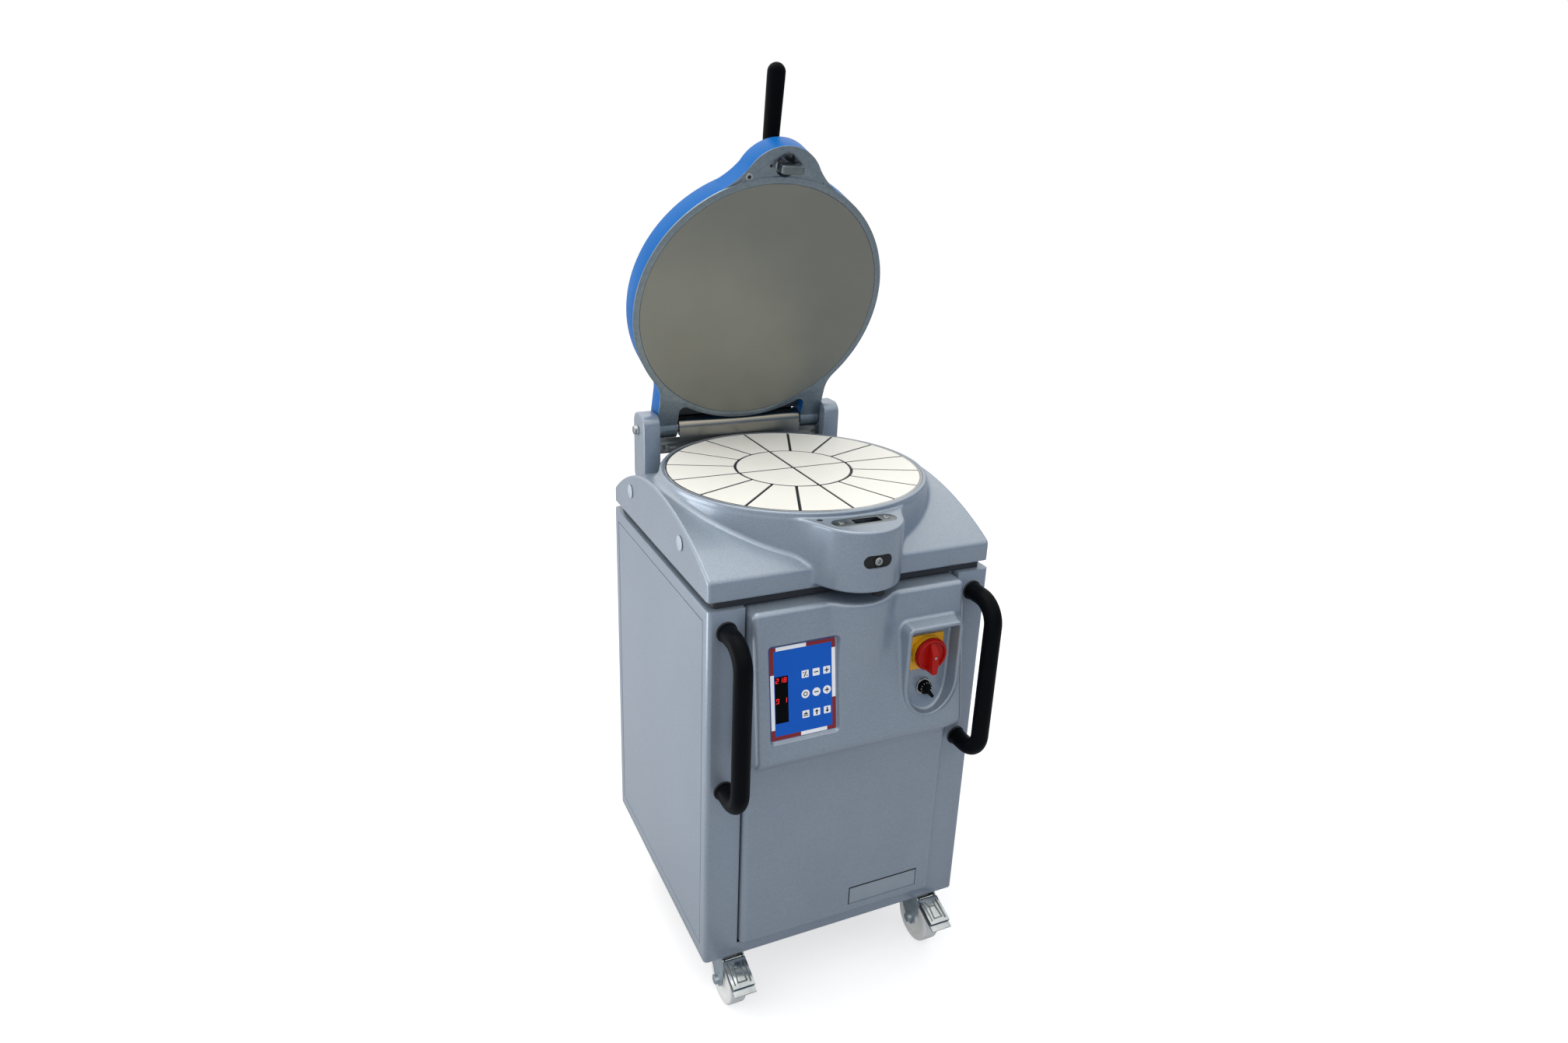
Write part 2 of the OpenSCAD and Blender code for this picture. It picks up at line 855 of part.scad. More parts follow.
module latch_slot(play) {
    translate([latch_x, -striker_out])
        square([latch_w + 2 * play, latch_t + 2 * play], center = true);
}

module top_cover() {
    tx = tower_inner;
    color(silver) place() difference() {
        cover_outer();
        cover_inner();
        translate([0, 0, z_cover - over]) cylinder(r = tub_bore, h = z_table);
        // Seat of the striker plate and the slot under it
        translate([0, -striker_out, z_nose - striker_t])
            linear_extrude(striker_t + over) obround(striker_l + run, striker_w + run);
        translate([0, 0, z_nose - 2 * cover_t - over]) linear_extrude(2 * cover_t + 2 * over) lock_bay();
        // Window in front of the lock
        translate([0, -nose_out, window_z]) forward(nose_r + over) obround(window_l, window_h);
        translate([sensor_x, -sensor_out, z_nose - striker_t])
            cylinder(d = sensor_d, h = striker_t + over);
        // Openings for the towers' feet
        for (s = [-1, 1]) translate([s * (tx + tower_w / 2), 0, z_cover])
            linear_extrude(z_table) translate([-tower_w / 2 - clear, tower_front - clear])
                square([tower_w + 2 * clear, y_rear - cover_t - tower_front + clear]);
    }
}

plug_t = 1.5;
plug_rear_y = 154;
plug_front_y = -130;
plug_up = 55;

module side_plugs() {
    color("#b4bcc6") place() for (s = [-1, 1], y = [plug_front_y, plug_rear_y])
        translate([s * (cab_w / 2 + plug_t / 2), y, z_cover + plug_up]) rotate([0, 90, 0])
            cylinder(d = plug_d, h = plug_t, center = true);
}

module tank_ring() {
    color(steel) place() translate([0, 0, z_cover])
        tube(seg_r + tank_gap + tank_t, seg_r + tank_gap, z_table - z_cover);
}

// Lock under the striker plate

slide_t = 3.5;
slide_travel = 8;
slide_drop = 1;
slide_w = 12;
slide_l = 20;
slide_reach = 5;
lock_w = 108;
lock_d = 42;
lock_h = 60;
solenoid_d = 30;
solenoid_l = 22;

z_slide = z_nose - striker_t - slide_drop - slide_t;

slide_play = 4;
bay_w = 22;
slide_x = latch_x + latch_w / 2 + slide_play;

// Opening under the striker plate for the latch block and the slide
module lock_bay() {
    x0 = latch_x - latch_w / 2 - slot_play;
    translate([x0, -striker_out - bay_w / 2]) square([slide_x + slide_l + over - x0, bay_w]);
}

module lock_unit() {
    z1 = z_nose - 2 * cover_t;
    color(black) place() {
        difference() {
            translate([-lock_w / 2, -striker_out - lock_d / 2, z1 - lock_h]) cube([lock_w, lock_d, lock_h]);
            translate([0, 0, z1 - lock_h / 2]) linear_extrude(lock_h) latch_slot(slot_play);
        }
        // Rails beside the slide
        for (k = [-1, 1]) translate([slide_x, -striker_out + k * (bay_w + slide_w) / 4, z1])
            linear_extrude(z_nose - striker_t - z1 - clear)
                translate([0, clear - (bay_w - slide_w) / 4])
                    square([slide_l, (bay_w - slide_w) / 2 - 2 * clear]);
        translate([0, -striker_out - lock_d / 2 + over, window_z]) forward(nose_front_gap)
            obround(window_l - 2 * clear, window_h - 2 * clear);
        translate([0, -striker_out, z1 - lock_h - solenoid_l]) cylinder(d = solenoid_d, h = solenoid_l + over);
    }
}
nose_front_gap = nose_out + nose_r - striker_out - lock_d / 2 - cover_t + 1.5 * over;

module lock_slide() {
    color(zinc) place() translate([0, 0, z_slide]) linear_extrude(slide_t)
        translate([slide_x, -striker_out - slide_w / 2]) square([slide_l, slide_w]);
}

module striker_plate() {
    color(steel) place() translate([0, 0, z_nose - striker_t]) linear_extrude(striker_t) difference() {
        translate([0, -striker_out]) obround(striker_l, striker_w);
        latch_slot(slot_play);
        for (s = [-1, 1]) translate([s * (striker_l - striker_w) / 2, -striker_out])
            circle(d = striker_screw_d + 2 * run);
    }
}

// Hinge

tower_inner = lug_half + 1.5 * over;
tower_front = hinge_y + lug_r + tower_back - tower_d;
tower_foot_d = y_rear - cover_t - tower_front - clear;
tower_knee_up = 30;
tower_knee = z_cover + tower_knee_up;
bolt_d = 12;
bolt_wall = 8;
bolt_head_d = 22;
bolt_head_t = 8;
bolt_hole_l = 25;

module tower(s) {
    color(silver) place() difference() {
        translate([s * (tower_inner + tower_w / 2), 0, 0]) across(tower_w) {
            translate([tower_front + tower_d / 2, (tower_knee + z_hinge + tower_up) / 2])
                round_rect(tower_d, z_hinge + tower_up - tower_knee, tower_r);
            translate([tower_front, tower_knee]) square([tower_d / 2, tower_r + over]);
            translate([tower_front, z_cover]) square([tower_foot_d, tower_knee + tower_r - z_cover]);
        }
        translate([s * (tower_inner + tower_w / 2), hinge_y, z_hinge]) rotate([0, s * 90, 0]) {
            translate([0, 0, -tower_w / 2 - over])
                cylinder(r = shaft_d / 2 + run, h = tower_w - bolt_wall + over);
            cylinder(r = bolt_d / 2 + run, h = tower_w);
        }
    }
}

module left_hinge_tower() { tower(-1); }

module right_hinge_tower() { tower(1); }

bridge_d = 18;
bridge_h = 24;
bridge_drop = 3;

z_bridge = z_hinge - lug_r - bridge_drop;
y_guard = hinge_y - guard_r;

module hinge_bridge() {
    color(silver) place() translate([-tower_inner, y_guard + guard_t, z_bridge - bridge_h])
        cube([2 * tower_inner, bridge_d, bridge_h]);
}

shaft_half = tower_inner + tower_w - bolt_wall;

module hinge_shaft() {
    color(steel) place() translate([0, hinge_y, z_hinge]) rotate([0, 90, 0]) difference() {
        cylinder(d = shaft_d, h = 2 * shaft_half, center = true);
        for (s = [0, 180]) rotate([s, 0, 0]) translate([0, 0, shaft_half - bolt_hole_l])
            cylinder(r = bolt_d / 2 + run, h = bolt_hole_l + over);
    }
}

module hinge_bolts() {
    color(zinc) place() for (s = [-1, 1])
        translate([s * (tower_inner + tower_w), hinge_y, z_hinge]) rotate([0, s * 90, 0]) {
            cylinder(d = bolt_head_d, h = bolt_head_t / 4);
            cylinder(d = bolt_head_d - bolt_head_t / 2, h = bolt_head_t);
            translate([0, 0, -bolt_wall - bolt_hole_l + clear]) cylinder(d = bolt_d, h = bolt_hole_l + bolt_wall);
        }
}

guard_half = lug_half - lug_w - 4 * over;
guard_screw_in = 20;

module hinge_guard() {
    flat_half = tower_inner - clear;
    color(steel) place() {
        // Rolled half round over the shaft and the flat in front of it
        translate([0, hinge_y, z_hinge]) across(2 * guard_half) difference() {
            union() {
                circle(guard_r);
                translate([-guard_r, -guard_r]) square([guard_t, guard_r]);
            }
            circle(guard_r - guard_t);
            translate([guard_t - guard_r, -2 * guard_r]) square(2 * guard_r);
        }
        translate([0, y_guard, 0]) mirror([0, 1, 0]) forward(guard_t) difference() {
            union() {
                translate([-guard_half, z_bridge]) square([2 * guard_half, z_hinge - z_bridge]);
                translate([-flat_half, z_bridge - bridge_h]) square([2 * flat_half, bridge_h]);
            }
            for (s = [-1, 1]) translate([s * (flat_half - guard_screw_in), z_bridge - bridge_h / 2])
                circle(d = guard_screw_d + 2 * run);
        }
    }
}

guard_screw_d = 6;
guard_head_d = 11;
guard_head_t = 3.5;
window_screw_d = 16;
window_screw_t = 4;

module cover_screws() {
    flat_half = tower_inner - clear;
    color(zinc) place() {
        for (s = [-1, 1]) {
            translate([s * (flat_half - guard_screw_in), y_guard, z_bridge - bridge_h / 2])
                rotate([90, 0, 0]) {
                    cylinder(d = guard_head_d, h = guard_head_t);
                    translate([0, 0, -guard_t]) cylinder(d = guard_screw_d, h = guard_t);
                }
            translate([s * (striker_l - striker_w) / 2, -striker_out, z_nose - striker_t])
                cylinder(d = striker_screw_d, h = striker_t);
        }
        translate([0, -striker_out - lock_d / 2 + over - nose_front_gap, window_z]) rotate([90, 0, 0])
            cylinder(d = window_screw_d, h = window_screw_t);
    }
}

sleeve_t = 6;

module spring_sleeve() {
    color(dark) place() translate([-guard_half + sleeve_t, hinge_y, z_hinge]) rotate([0, 90, 0])
        tube(shaft_d / 2 + sleeve_t, shaft_d / 2 + run, 2 * (guard_half - sleeve_t));
}

// Lid

plate_gap = 0.4;
lid_r = plate_r + plate_gap + lid_band;
bush_t = 3.5;
lid_wall = 12;
rib_t = 10;
rib_n = 3;
crown_shares = [[0, 1], [0.12, 1], [0.4, 0.86], [0.7, 0.52], [1, 0]];
lid_crown = 8;
lid_crown_r = 205;

// Outline of the lid seen from above: ring, nose and the arms to the lugs
module lid_outline() {
    fy = sqrt(pow(lid_r + lug_fillet, 2) - pow(lug_half + lug_fillet, 2));
    circle(lid_r);
    translate([0, -lid_nose_out]) circle(lid_nose_r);
    hollow_blend(lid_r, lid_nose_r, lid_nose_out, lid_nose_fillet);
    for (s = [-1, 1]) difference() {
        union() {
            polygon([[0, 0], [s * (lug_half + lug_fillet), fy], [s * (lug_half - lug_w), fy]]);
            translate([s * (lug_half - lug_w / 2), 0])
                translate([-lug_w / 2, 0]) square([lug_w, hinge_y - lug_r]);
        }
        translate([s * (lug_half + lug_fillet), fy]) circle(lug_fillet);
    }
}

// Side view of a lug: its round end and the arm that runs into the lid
module lug_side() {
    arm = lug_r + lid_wall;
    translate([hinge_y, z_hinge]) {
        circle(lug_r);
        translate([-arm, -hinge_up]) square([arm, hinge_up + lug_r - over]);
        polygon([[-arm, 0], [0, 0], [0, lug_r], [-lug_r, lid_t - hinge_up], [-arm, lid_t - hinge_up]]);
    }
}

module pocket_cut() {
    translate([0, -pocket_out, z_lid - over])
        cylinder(d = pocket_d, h = lid_t - lid_wall + over);
}

module lid_casting() {
    color(blue) on_lid() difference() {
        union() {
            translate([0, 0, z_lid]) linear_extrude(lid_t) lid_outline();
            for (s = [-1, 1]) translate([s * (lug_half - lug_w / 2), 0, 0]) across(lug_w) lug_side();
            translate([0, 0, z_lid_top]) rotate_extrude() polygon([
                for (p = crown_shares) [p[0] * lid_crown_r, p[1] * lid_crown],
                [0, 0]
            ]);
        }
        // Seat of the press plate and the ribbed hollow above it
        translate([0, 0, z_lid - over]) cylinder(r = plate_r + plate_gap, h = plate_t + over);
        translate([0, 0, z_lid]) difference() {
            cylinder(r = plate_r - lid_band, h = lid_t - lid_wall);
            for (i = [0 : rib_n - 1]) rotate(i * 180 / rib_n)
                translate([0, 0, (plate_t + lid_t) / 2]) cube([2 * lid_r, rib_t, lid_t - plate_t], center = true);
        }
        // Nose pad, stepped back from the ring
        translate([0, 0, z_lid - over]) linear_extrude(pad_deep + over) difference() {
            translate([-lid_nose_r, -2 * lid_r]) square([2 * lid_nose_r, 2 * lid_r]);
            circle(lid_r);
        }
        pocket_cut();
        translate([0, hinge_y, z_hinge]) rotate([0, 90, 0])
            cylinder(r = shaft_d / 2 + bush_t + 2 * run, h = 3 * lug_half, center = true);
    }
}

module lid_plate() {
    color(steel) on_lid() translate([0, 0, z_lid]) cylinder(r = plate_r, h = plate_t);
}

grip_end_r = 7;
flange_d = 48;
flange_t = 5;
stem_l = 5;

module lid_handle() {
    color(black) on_lid() translate([0, -pocket_out, z_lid_top]) {
        cylinder(d = flange_d, h = flange_t);
        cylinder(d1 = flange_d - flange_t, d2 = grip_d - over, h = stem_l + flange_t);
        cylinder(d = grip_d, h = stem_l + flange_t + over);
        translate([0, -grip_bend, stem_l + flange_t]) rotate([90, 0, -90])
            rotate([0, 0, 90 + grip_rise]) rotate_extrude(angle = 90 - grip_rise)
                translate([grip_bend, 0]) circle(d = grip_d - clear);
        translate([0, -grip_bend + grip_bend * sin(grip_rise),
                   stem_l + flange_t + grip_bend * cos(grip_rise)])
            rotate([90 - grip_rise, 0, 0]) translate([0, 0, -over]) rotate_extrude() {
                square([grip_d / 2, grip_l + over]);
                square([grip_d / 2 - grip_end_r, grip_l + grip_end_r + over]);
                translate([grip_d / 2 - grip_end_r, grip_l + over]) circle(grip_end_r);
            }
    }
}

latch_chamfer = 4;
notch_play = 1;

module latch_block() {
    z0 = z_lid + pad_deep - latch_l;
    color(steel) on_lid() difference() {
        translate([latch_x, -striker_out, 0]) rotate([90, 0, 0])
            linear_extrude(latch_t, center = true) translate([0, z0]) polygon([
                [-latch_w / 2 + latch_chamfer, 0], [latch_w / 2 - latch_chamfer, 0],
                [latch_w / 2, latch_chamfer], [latch_w / 2, latch_l],
                [-latch_w / 2, latch_l], [-latch_w / 2, latch_chamfer]
            ]);
        // Notch that the lock's slide enters
        translate([latch_x + latch_w / 2 - slide_reach - notch_play, -striker_out - latch_t,
                   z_slide - notch_play])
            cube([slide_reach + notch_play + over, 2 * latch_t, slide_t + 2 * notch_play]);
    }
}

module hinge_bushes() {
    color("#b08d4a") on_lid() for (s = [-1, 1])
        translate([s * (lug_half - lug_w / 2) - lug_w / 2, hinge_y, z_hinge]) rotate([0, 90, 0])
            tube(shaft_d / 2 + bush_t + run, shaft_d / 2 + run, lug_w);
}

// Dividing head

post_r = (ring_r + seg_r) / 2 + post_d / 4;
hub_share = 0.57;
hub_post_r = ring_r * hub_share;
z_seg = z_table - seg_t;
z_carrier = z_seg - press_stroke - 2 * knife_low - carrier_t;
carrier_r = seg_r - tank_t;
z_press = z_carrier - press_stroke - 2 * knife_low - press_t;
press_r = post_r + post_d;
rod_x = carrier_r - rod_d - knife_t;

// The radial slots between the outer segments, and the two that cross the whole table
module radial_slots(w, r0, r1) {
    for (i = [0 : outer_n - 1]) rotate(i * 360 / outer_n)
        translate([r0, -w / 2]) square([r1 - r0, w]);
}

module cross_slots(w, r1) {
    for (i = [0 : inner_n - 1]) rotate(i * 360 / inner_n) translate([-w / 2, -w / 2]) square([r1 + w / 2, w]);
}

module outer_segments() {
    color(white) place() translate([0, 0, z_seg]) linear_extrude(seg_t) difference() {
        circle(seg_r);
        circle(ring_r + slot_w / 2);
        radial_slots(slot_w, ring_r, seg_r + over);
    }
}

module inner_segments() {
    color(white) place() translate([0, 0, z_seg]) linear_extrude(seg_t) difference() {
        circle(ring_r - slot_w / 2);
        cross_slots(slot_w, ring_r);
    }
}

module post_places(clearance) {
    for (i = [0 : outer_n - 1]) rotate((i + 1 / 2) * 360 / outer_n)
        translate([post_r, 0]) circle(d = post_d + 2 * clearance);
    for (i = [0 : inner_n - 1]) rotate((i + 1 / 2) * 360 / inner_n)
        translate([hub_post_r, 0]) circle(d = hub_post_d + 2 * clearance);
}

module segment_posts() {
    color(steel) place() translate([0, 0, z_press + press_t])
        linear_extrude(z_seg - z_press - press_t) post_places(0);
}

module press_plate() {
    color(dark) place() translate([0, 0, z_press]) cylinder(r = press_r, h = press_t);
}

z_barrel_top = z_press - press_stroke - 2 * knife_low;
ram_in = press_stroke + ram_d / 2;
barrel_cap = 20;

module press_ram() {
    color(zinc) place() translate([0, 0, z_barrel_top - ram_in])
        cylinder(d = ram_d, h = z_press - z_barrel_top + ram_in);
}

module press_cylinder() {
    z0 = z_barrel_top - ram_in - press_stroke - 2 * knife_low - barrel_cap;
    color(dark) place() difference() {
        union() {
            translate([0, 0, z0]) cylinder(d = barrel_d, h = z_barrel_top - z0);
            translate([0, 0, z_bed + bed_t]) cylinder(d = barrel_d + 2 * barrel_cap, h = barrel_cap);
        }
        translate([0, 0, z0 + barrel_cap]) cylinder(d = ram_d + 2 * run, h = z_barrel_top - z0);
    }
}

blade_h = z_table - knife_low - z_carrier - carrier_t;

// Crossing blades over the whole table and shorter ones from the ring outwards
module knife_blades() {
    r1 = seg_r - tank_gap;
    color(steel) place() translate([0, 0, z_carrier + carrier_t]) linear_extrude(blade_h) {
        square([2 * r1, knife_t], center = true);
        for (s = [-1, 1]) translate([0, s * (r1 + knife_t / 2 + run) / 2])
            square([knife_t, r1 - knife_t / 2 - run], center = true);
        radial_slots(knife_t, ring_r + knife_t / 2 + run, r1);
    }
}

module knife_ring() {
    color(steel) place() translate([0, 0, z_carrier + carrier_t]) linear_extrude(blade_h) difference() {
        circle(ring_r + knife_t / 2);
        circle(ring_r - knife_t / 2);
        cross_slots(knife_t + 2 * run, seg_r);
    }
}

post_play = 2;

module knife_carrier() {
    color(dark) place() translate([0, 0, z_carrier]) linear_extrude(carrier_t) difference() {
        circle(carrier_r);
        post_places(post_play);
    }
}

z_lift_top = z_carrier - press_stroke - 3 * knife_low;
rod_in = press_stroke + 2 * rod_d;

module knife_rods() {
    color(zinc) place() for (s = [-1, 1]) translate([s * rod_x, 0, z_lift_top - rod_in + press_stroke])
        cylinder(d = rod_d, h = z_carrier - z_lift_top + rod_in - press_stroke);
}

module knife_cylinders() {
    z0 = z_lift_top - rod_in - 2 * rod_d;
    arm_d = cab_d - 2 * upright_in_y - upright;
    color(dark) place() for (s = [-1, 1]) {
        translate([s * rod_x, 0, z0]) difference() {
            cylinder(d = lift_d, h = z_lift_top - z0);
            translate([0, 0, rod_d]) cylinder(d = rod_d + 2 * run, h = z_lift_top);
        }
        // Bracket between the front and rear uprights
        translate([s * (rod_x + lift_d / 2), 0, z0 + lift_d / 2])
            cube([lift_arm, arm_d, lift_d / 2], center = true);
    }
}
lift_arm = 8;

// Hydraulic unit

tank_in = 100;
tank_w = cab_w - 2 * tank_in;
tank_d = 190;
// Room for the hydraulic unit under the press cylinder, and its pieces' shares of it
unit_room = z_barrel_top - ram_in - press_stroke - 2 * knife_low - barrel_cap - z_floor_top;
tank_share = 0.528;
motor_share = 0.443;
valve_share = 0.211;
coil_share = 0.158;
pump_share = 0.53;
tank_h = tank_share * unit_room;
tank_back = 30;
tank_wall = 4;
motor_d = 130;
motor_h = motor_share * unit_room;
motor_flange_d = 150;
motor_flange_t = 12;
motor_place = -0.235;
motor_x = motor_place * tank_w;
fin_n = 24;
fin_t = 3;
fin_out = 6;
pump_d = 84;
pump_h = pump_share * tank_h;
pump_gap = 3;
valve_w = 90;
valve_d = 70;
valve_h = valve_share * unit_room;
valve_place = 0.265;
valve_x = valve_place * tank_w;
coil_d = 40;
coil_l = coil_share * unit_room;

y_tank = y_rear - upright_in_y - upright - tank_back - tank_d / 2;
z_tank_top = z_floor_top + tank_h;

module oil_tank() {
    color(dark) place() difference() {
        translate([0, y_tank, z_floor_top]) linear_extrude(tank_h) round_rect(tank_w, tank_d, cab_r);
        translate([0, y_tank, z_floor_top + tank_wall]) linear_extrude(tank_h - 2 * tank_wall)
            round_rect(tank_w - 2 * tank_wall, tank_d - 2 * tank_wall, cab_r - tank_wall / 2);
        translate([motor_x, y_tank, z_tank_top - tank_wall - over])
            cylinder(d = pump_d + 2 * pump_gap, h = tank_wall + 2 * over);
    }
}

module pump_motor() {
    color("#5d6670") place() translate([motor_x, y_tank, z_tank_top]) {
        cylinder(d = motor_flange_d, h = motor_flange_t);
        cylinder(d = motor_d, h = motor_h);
        translate([0, 0, motor_flange_t]) linear_extrude(motor_h - 2 * motor_flange_t)
            for (i = [0 : fin_n - 1]) rotate(i * 360 / fin_n)
                translate([motor_d / 2 - fin_t, -fin_t / 2]) square([fin_out + fin_t, fin_t]);
    }
}

module hydraulic_pump() {
    color(steel) place() translate([motor_x, y_tank, z_tank_top - pump_h])
        cylinder(d = pump_d, h = pump_h);
}

module valve_block() {
    color(steel) place() translate([valve_x, y_tank, z_tank_top]) {
        translate([-valve_w / 2, -valve_d / 2, 0]) cube([valve_w, valve_d, valve_h]);
        for (s = [-1, 1]) translate([s * valve_w / 4, 0, valve_h]) cylinder(d = coil_d, h = coil_l);
    }
}

// Castors

castor_x = cab_w / 2 - castor_in_x;
castor_y = cab_d / 2 - castor_in_y;
castor_plate_w = 100;
castor_plate_d = 84;
castor_plate_t = 4;
castor_plate_r = 6;
plate_hole_d = 9;
plate_hole_in = 12;
king_d = 14;
race_d = 58;
race_gap = 0.4;
head_t = 5;
fork_top_t = 4;
axle_d = 12;
nut_d = 19;
nut_t = 8;
fork_eye_r = 14;
fork_back = 27;
fork_ahead = 62;
king_cap_t = 4;
king_cap_d = 22;
wheel_gap = 2;
hub_d = 30;
wheel_edge = 5;
pedal_t = 3;
pedal_back = 6;
pedal_l = 54;
pedal_up = 6;
pedal_w = 43;
lip_l = 11;
lip_drop = 8;
lip_w = 30;
pin_d = 7;
pin_out = 54;
pin_up = 4;
shoe_l = 12;
shoe_drop = 4;

z_fork_top = castor_h - castor_plate_t - race_gap - head_t;
fork_in = wheel_w / 2 + wheel_gap;
pin_z = wheel_d + pin_up;

module at_castor(sx, sy) {
    place() translate([sx * castor_x, sy * castor_y, 0]) children();
}

module castor_plates() {
    color(zinc) for (sx = [-1, 1], sy = [-1, 1]) at_castor(sx, sy) {
        translate([0, 0, castor_h - castor_plate_t]) linear_extrude(castor_plate_t) difference() {
            round_rect(castor_plate_w, castor_plate_d, castor_plate_r);
            for (x = [-1, 1], y = [-1, 1])
                translate([x * (castor_plate_w / 2 - plate_hole_in), y * (castor_plate_d / 2 - plate_hole_in)])
                    circle(d = plate_hole_d);
        }
        translate([0, 0, z_fork_top - fork_top_t - king_cap_t - race_gap])
            cylinder(d = king_d, h = castor_h - z_fork_top + fork_top_t + king_cap_t);
        translate([0, 0, z_fork_top - fork_top_t - king_cap_t - race_gap])
            cylinder(d = king_cap_d, h = king_cap_t);
    }
}

// Side view of a fork's leg: from the swivel head down to the axle's eye
module leg_side() {
    translate([-castor_out, wheel_d / 2]) circle(fork_eye_r);
    translate([-pin_out, pin_z]) circle(pin_d);
    polygon([
        [fork_back, z_fork_top], [fork_back, z_fork_top - 2 * fork_top_t],
        [fork_eye_r - castor_out, wheel_d / 2 - fork_eye_r / 2],
        [-castor_out - fork_eye_r, wheel_d / 2 + fork_eye_r / 4],
        [-fork_ahead, pin_z - pin_d], [-fork_ahead, pin_z],
        [-pin_out + pin_d, z_fork_top]
    ]);
}

module fork() {
    leg_x = fork_in + fork_t / 2;
    difference() {
        union() {
            for (s = [-1, 1]) translate([s * leg_x, 0, 0]) across(fork_t) leg_side();
            translate([-fork_in - fork_t, pin_d - pin_out, z_fork_top - fork_top_t])
                cube([2 * (fork_in + fork_t), fork_back + pin_out - pin_d, fork_top_t]);
            translate([0, 0, z_fork_top - fork_top_t]) cylinder(d = race_d, h = head_t + fork_top_t);
        }
        translate([0, 0, z_fork_top - fork_top_t - over])
            cylinder(d = king_d + 2 * run, h = castor_h);
    }
    // Axle bolt with its head and nut
    translate([0, -castor_out, wheel_d / 2]) rotate([0, 90, 0]) {
        cylinder(d = axle_d, h = 2 * (fork_in + fork_t + nut_t), center = true);
        for (s = [0, 180]) rotate([s, 0, 0]) translate([0, 0, fork_in + fork_t]) cylinder(d = nut_d, h = nut_t, $fn = 6);
    }
}

module wheel() {
    h = wheel_w / 2;
    translate([0, -castor_out, wheel_d / 2]) rotate([0, 90, 0]) rotate_extrude() difference() {
        union() {
            translate([0, -h]) square([wheel_d / 2 - wheel_edge, wheel_w]);
            translate([0, wheel_edge - h]) square([wheel_d / 2, wheel_w - 2 * wheel_edge]);
            for (s = [-1, 1]) translate([wheel_d / 2 - wheel_edge, s * (h - wheel_edge)]) circle(wheel_edge);
        }
        translate([0, -h - over]) square([axle_d / 2 + run, wheel_w + 2 * over]);
        // Dished sides between hub and tyre
        for (s = [-1, 1]) translate([hub_d / 2, s * h - wheel_edge / 2])
            square([wheel_d / 2 - 3 * wheel_edge - hub_d / 2, wheel_edge]);
    }
}

// Outline turned with the pedal about its pin
module at_pin() {
    translate([-pin_out, pin_z]) rotate(pedal_slope) children();
}

// Side view of a brake pedal: sloping plate and front lip
module pedal_side() {
    at_pin() translate([-pedal_back - pedal_l, pedal_up]) {
        square([pedal_l, pedal_t]);
        translate([0, -lip_drop]) square([pedal_t, lip_drop + pedal_t]);
        translate([-lip_l, -lip_drop]) square([lip_l + pedal_t, pedal_t]);
    }
}

module pedal() {
    across(pedal_w) pedal_side();
    // Brake shoe above the tyre
    across(wheel_w / 2) at_pin() translate([-shoe_l - pin_d, -shoe_drop])
        square([shoe_l, shoe_drop + pedal_up + pedal_t / 2]);
    // Cheeks inside the fork and the pin through them
    for (s = [-1, 1]) translate([s * (fork_in - wheel_gap / 2 - run), 0, 0])
        across(wheel_gap - 4 * run) at_pin() {
            circle(pin_d - over);
            translate([-2 * pin_d, 0]) square([2 * pin_d, pedal_up + pedal_t / 2]);
        }
    translate([0, -pin_out, pin_z]) rotate([0, 90, 0])
        cylinder(d = pin_d, h = 2 * (fork_in - run), center = true);
}

module front_left_fork() { color(zinc) at_castor(-1, -1) fork(); }

module front_right_fork() { color(zinc) at_castor(1, -1) fork(); }

module rear_left_fork() { color(zinc) at_castor(-1, 1) fork(); }

module rear_right_fork() { color(zinc) at_castor(1, 1) fork(); }

module front_left_wheel() { color(white) at_castor(-1, -1) wheel(); }

module front_right_wheel() { color(white) at_castor(1, -1) wheel(); }

module rear_left_wheel() { color(white) at_castor(-1, 1) wheel(); }

module rear_right_wheel() { color(white) at_castor(1, 1) wheel(); }

module left_pedal() { color(zinc) at_castor(-1, -1) pedal(); }

module right_pedal() { color(zinc) at_castor(1, -1) pedal(); }

base_frame();
main_frame();
cabinet_shell();
left_side_panel();
right_side_panel();
rear_panel();
front_panel();
top_cover();
side_plugs();
tank_ring();
left_hinge_tower();
right_hinge_tower();
hinge_bridge();
hinge_shaft();
hinge_bolts();
hinge_guard();
cover_screws();
spring_sleeve();
striker_plate();
lock_unit();
lock_slide();
left_handle();
right_handle();
keypad_panel();
switch_plate();
switch_knob();
selector_bezel();
selector_knob();
control_box();
press_cylinder();
knife_cylinders();
oil_tank();
pump_motor();
hydraulic_pump();
valve_block();
outer_segments();
inner_segments();
segment_posts();
press_plate();
press_ram();
knife_blades();
knife_ring();
knife_carrier();
knife_rods();
lid_casting();
lid_plate();
lid_handle();
latch_block();
hinge_bushes();
castor_plates();
front_left_fork();
front_right_fork();
rear_left_fork();
rear_right_fork();
front_left_wheel();
front_right_wheel();
rear_left_wheel();
rear_right_wheel();
left_pedal();
right_pedal();
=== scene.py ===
# Hydraulic dough divider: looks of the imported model. Sizes are in millimetres unless a comment says
# otherwise, across and back from the middle of the dividing table and up from the floor. TO_ROW
# takes them to the row's metres, and ON_LID does so for pieces drawn on the closed lid.
import math
import bmesh
import bpy
import numpy as np
from mathutils import Matrix, Vector


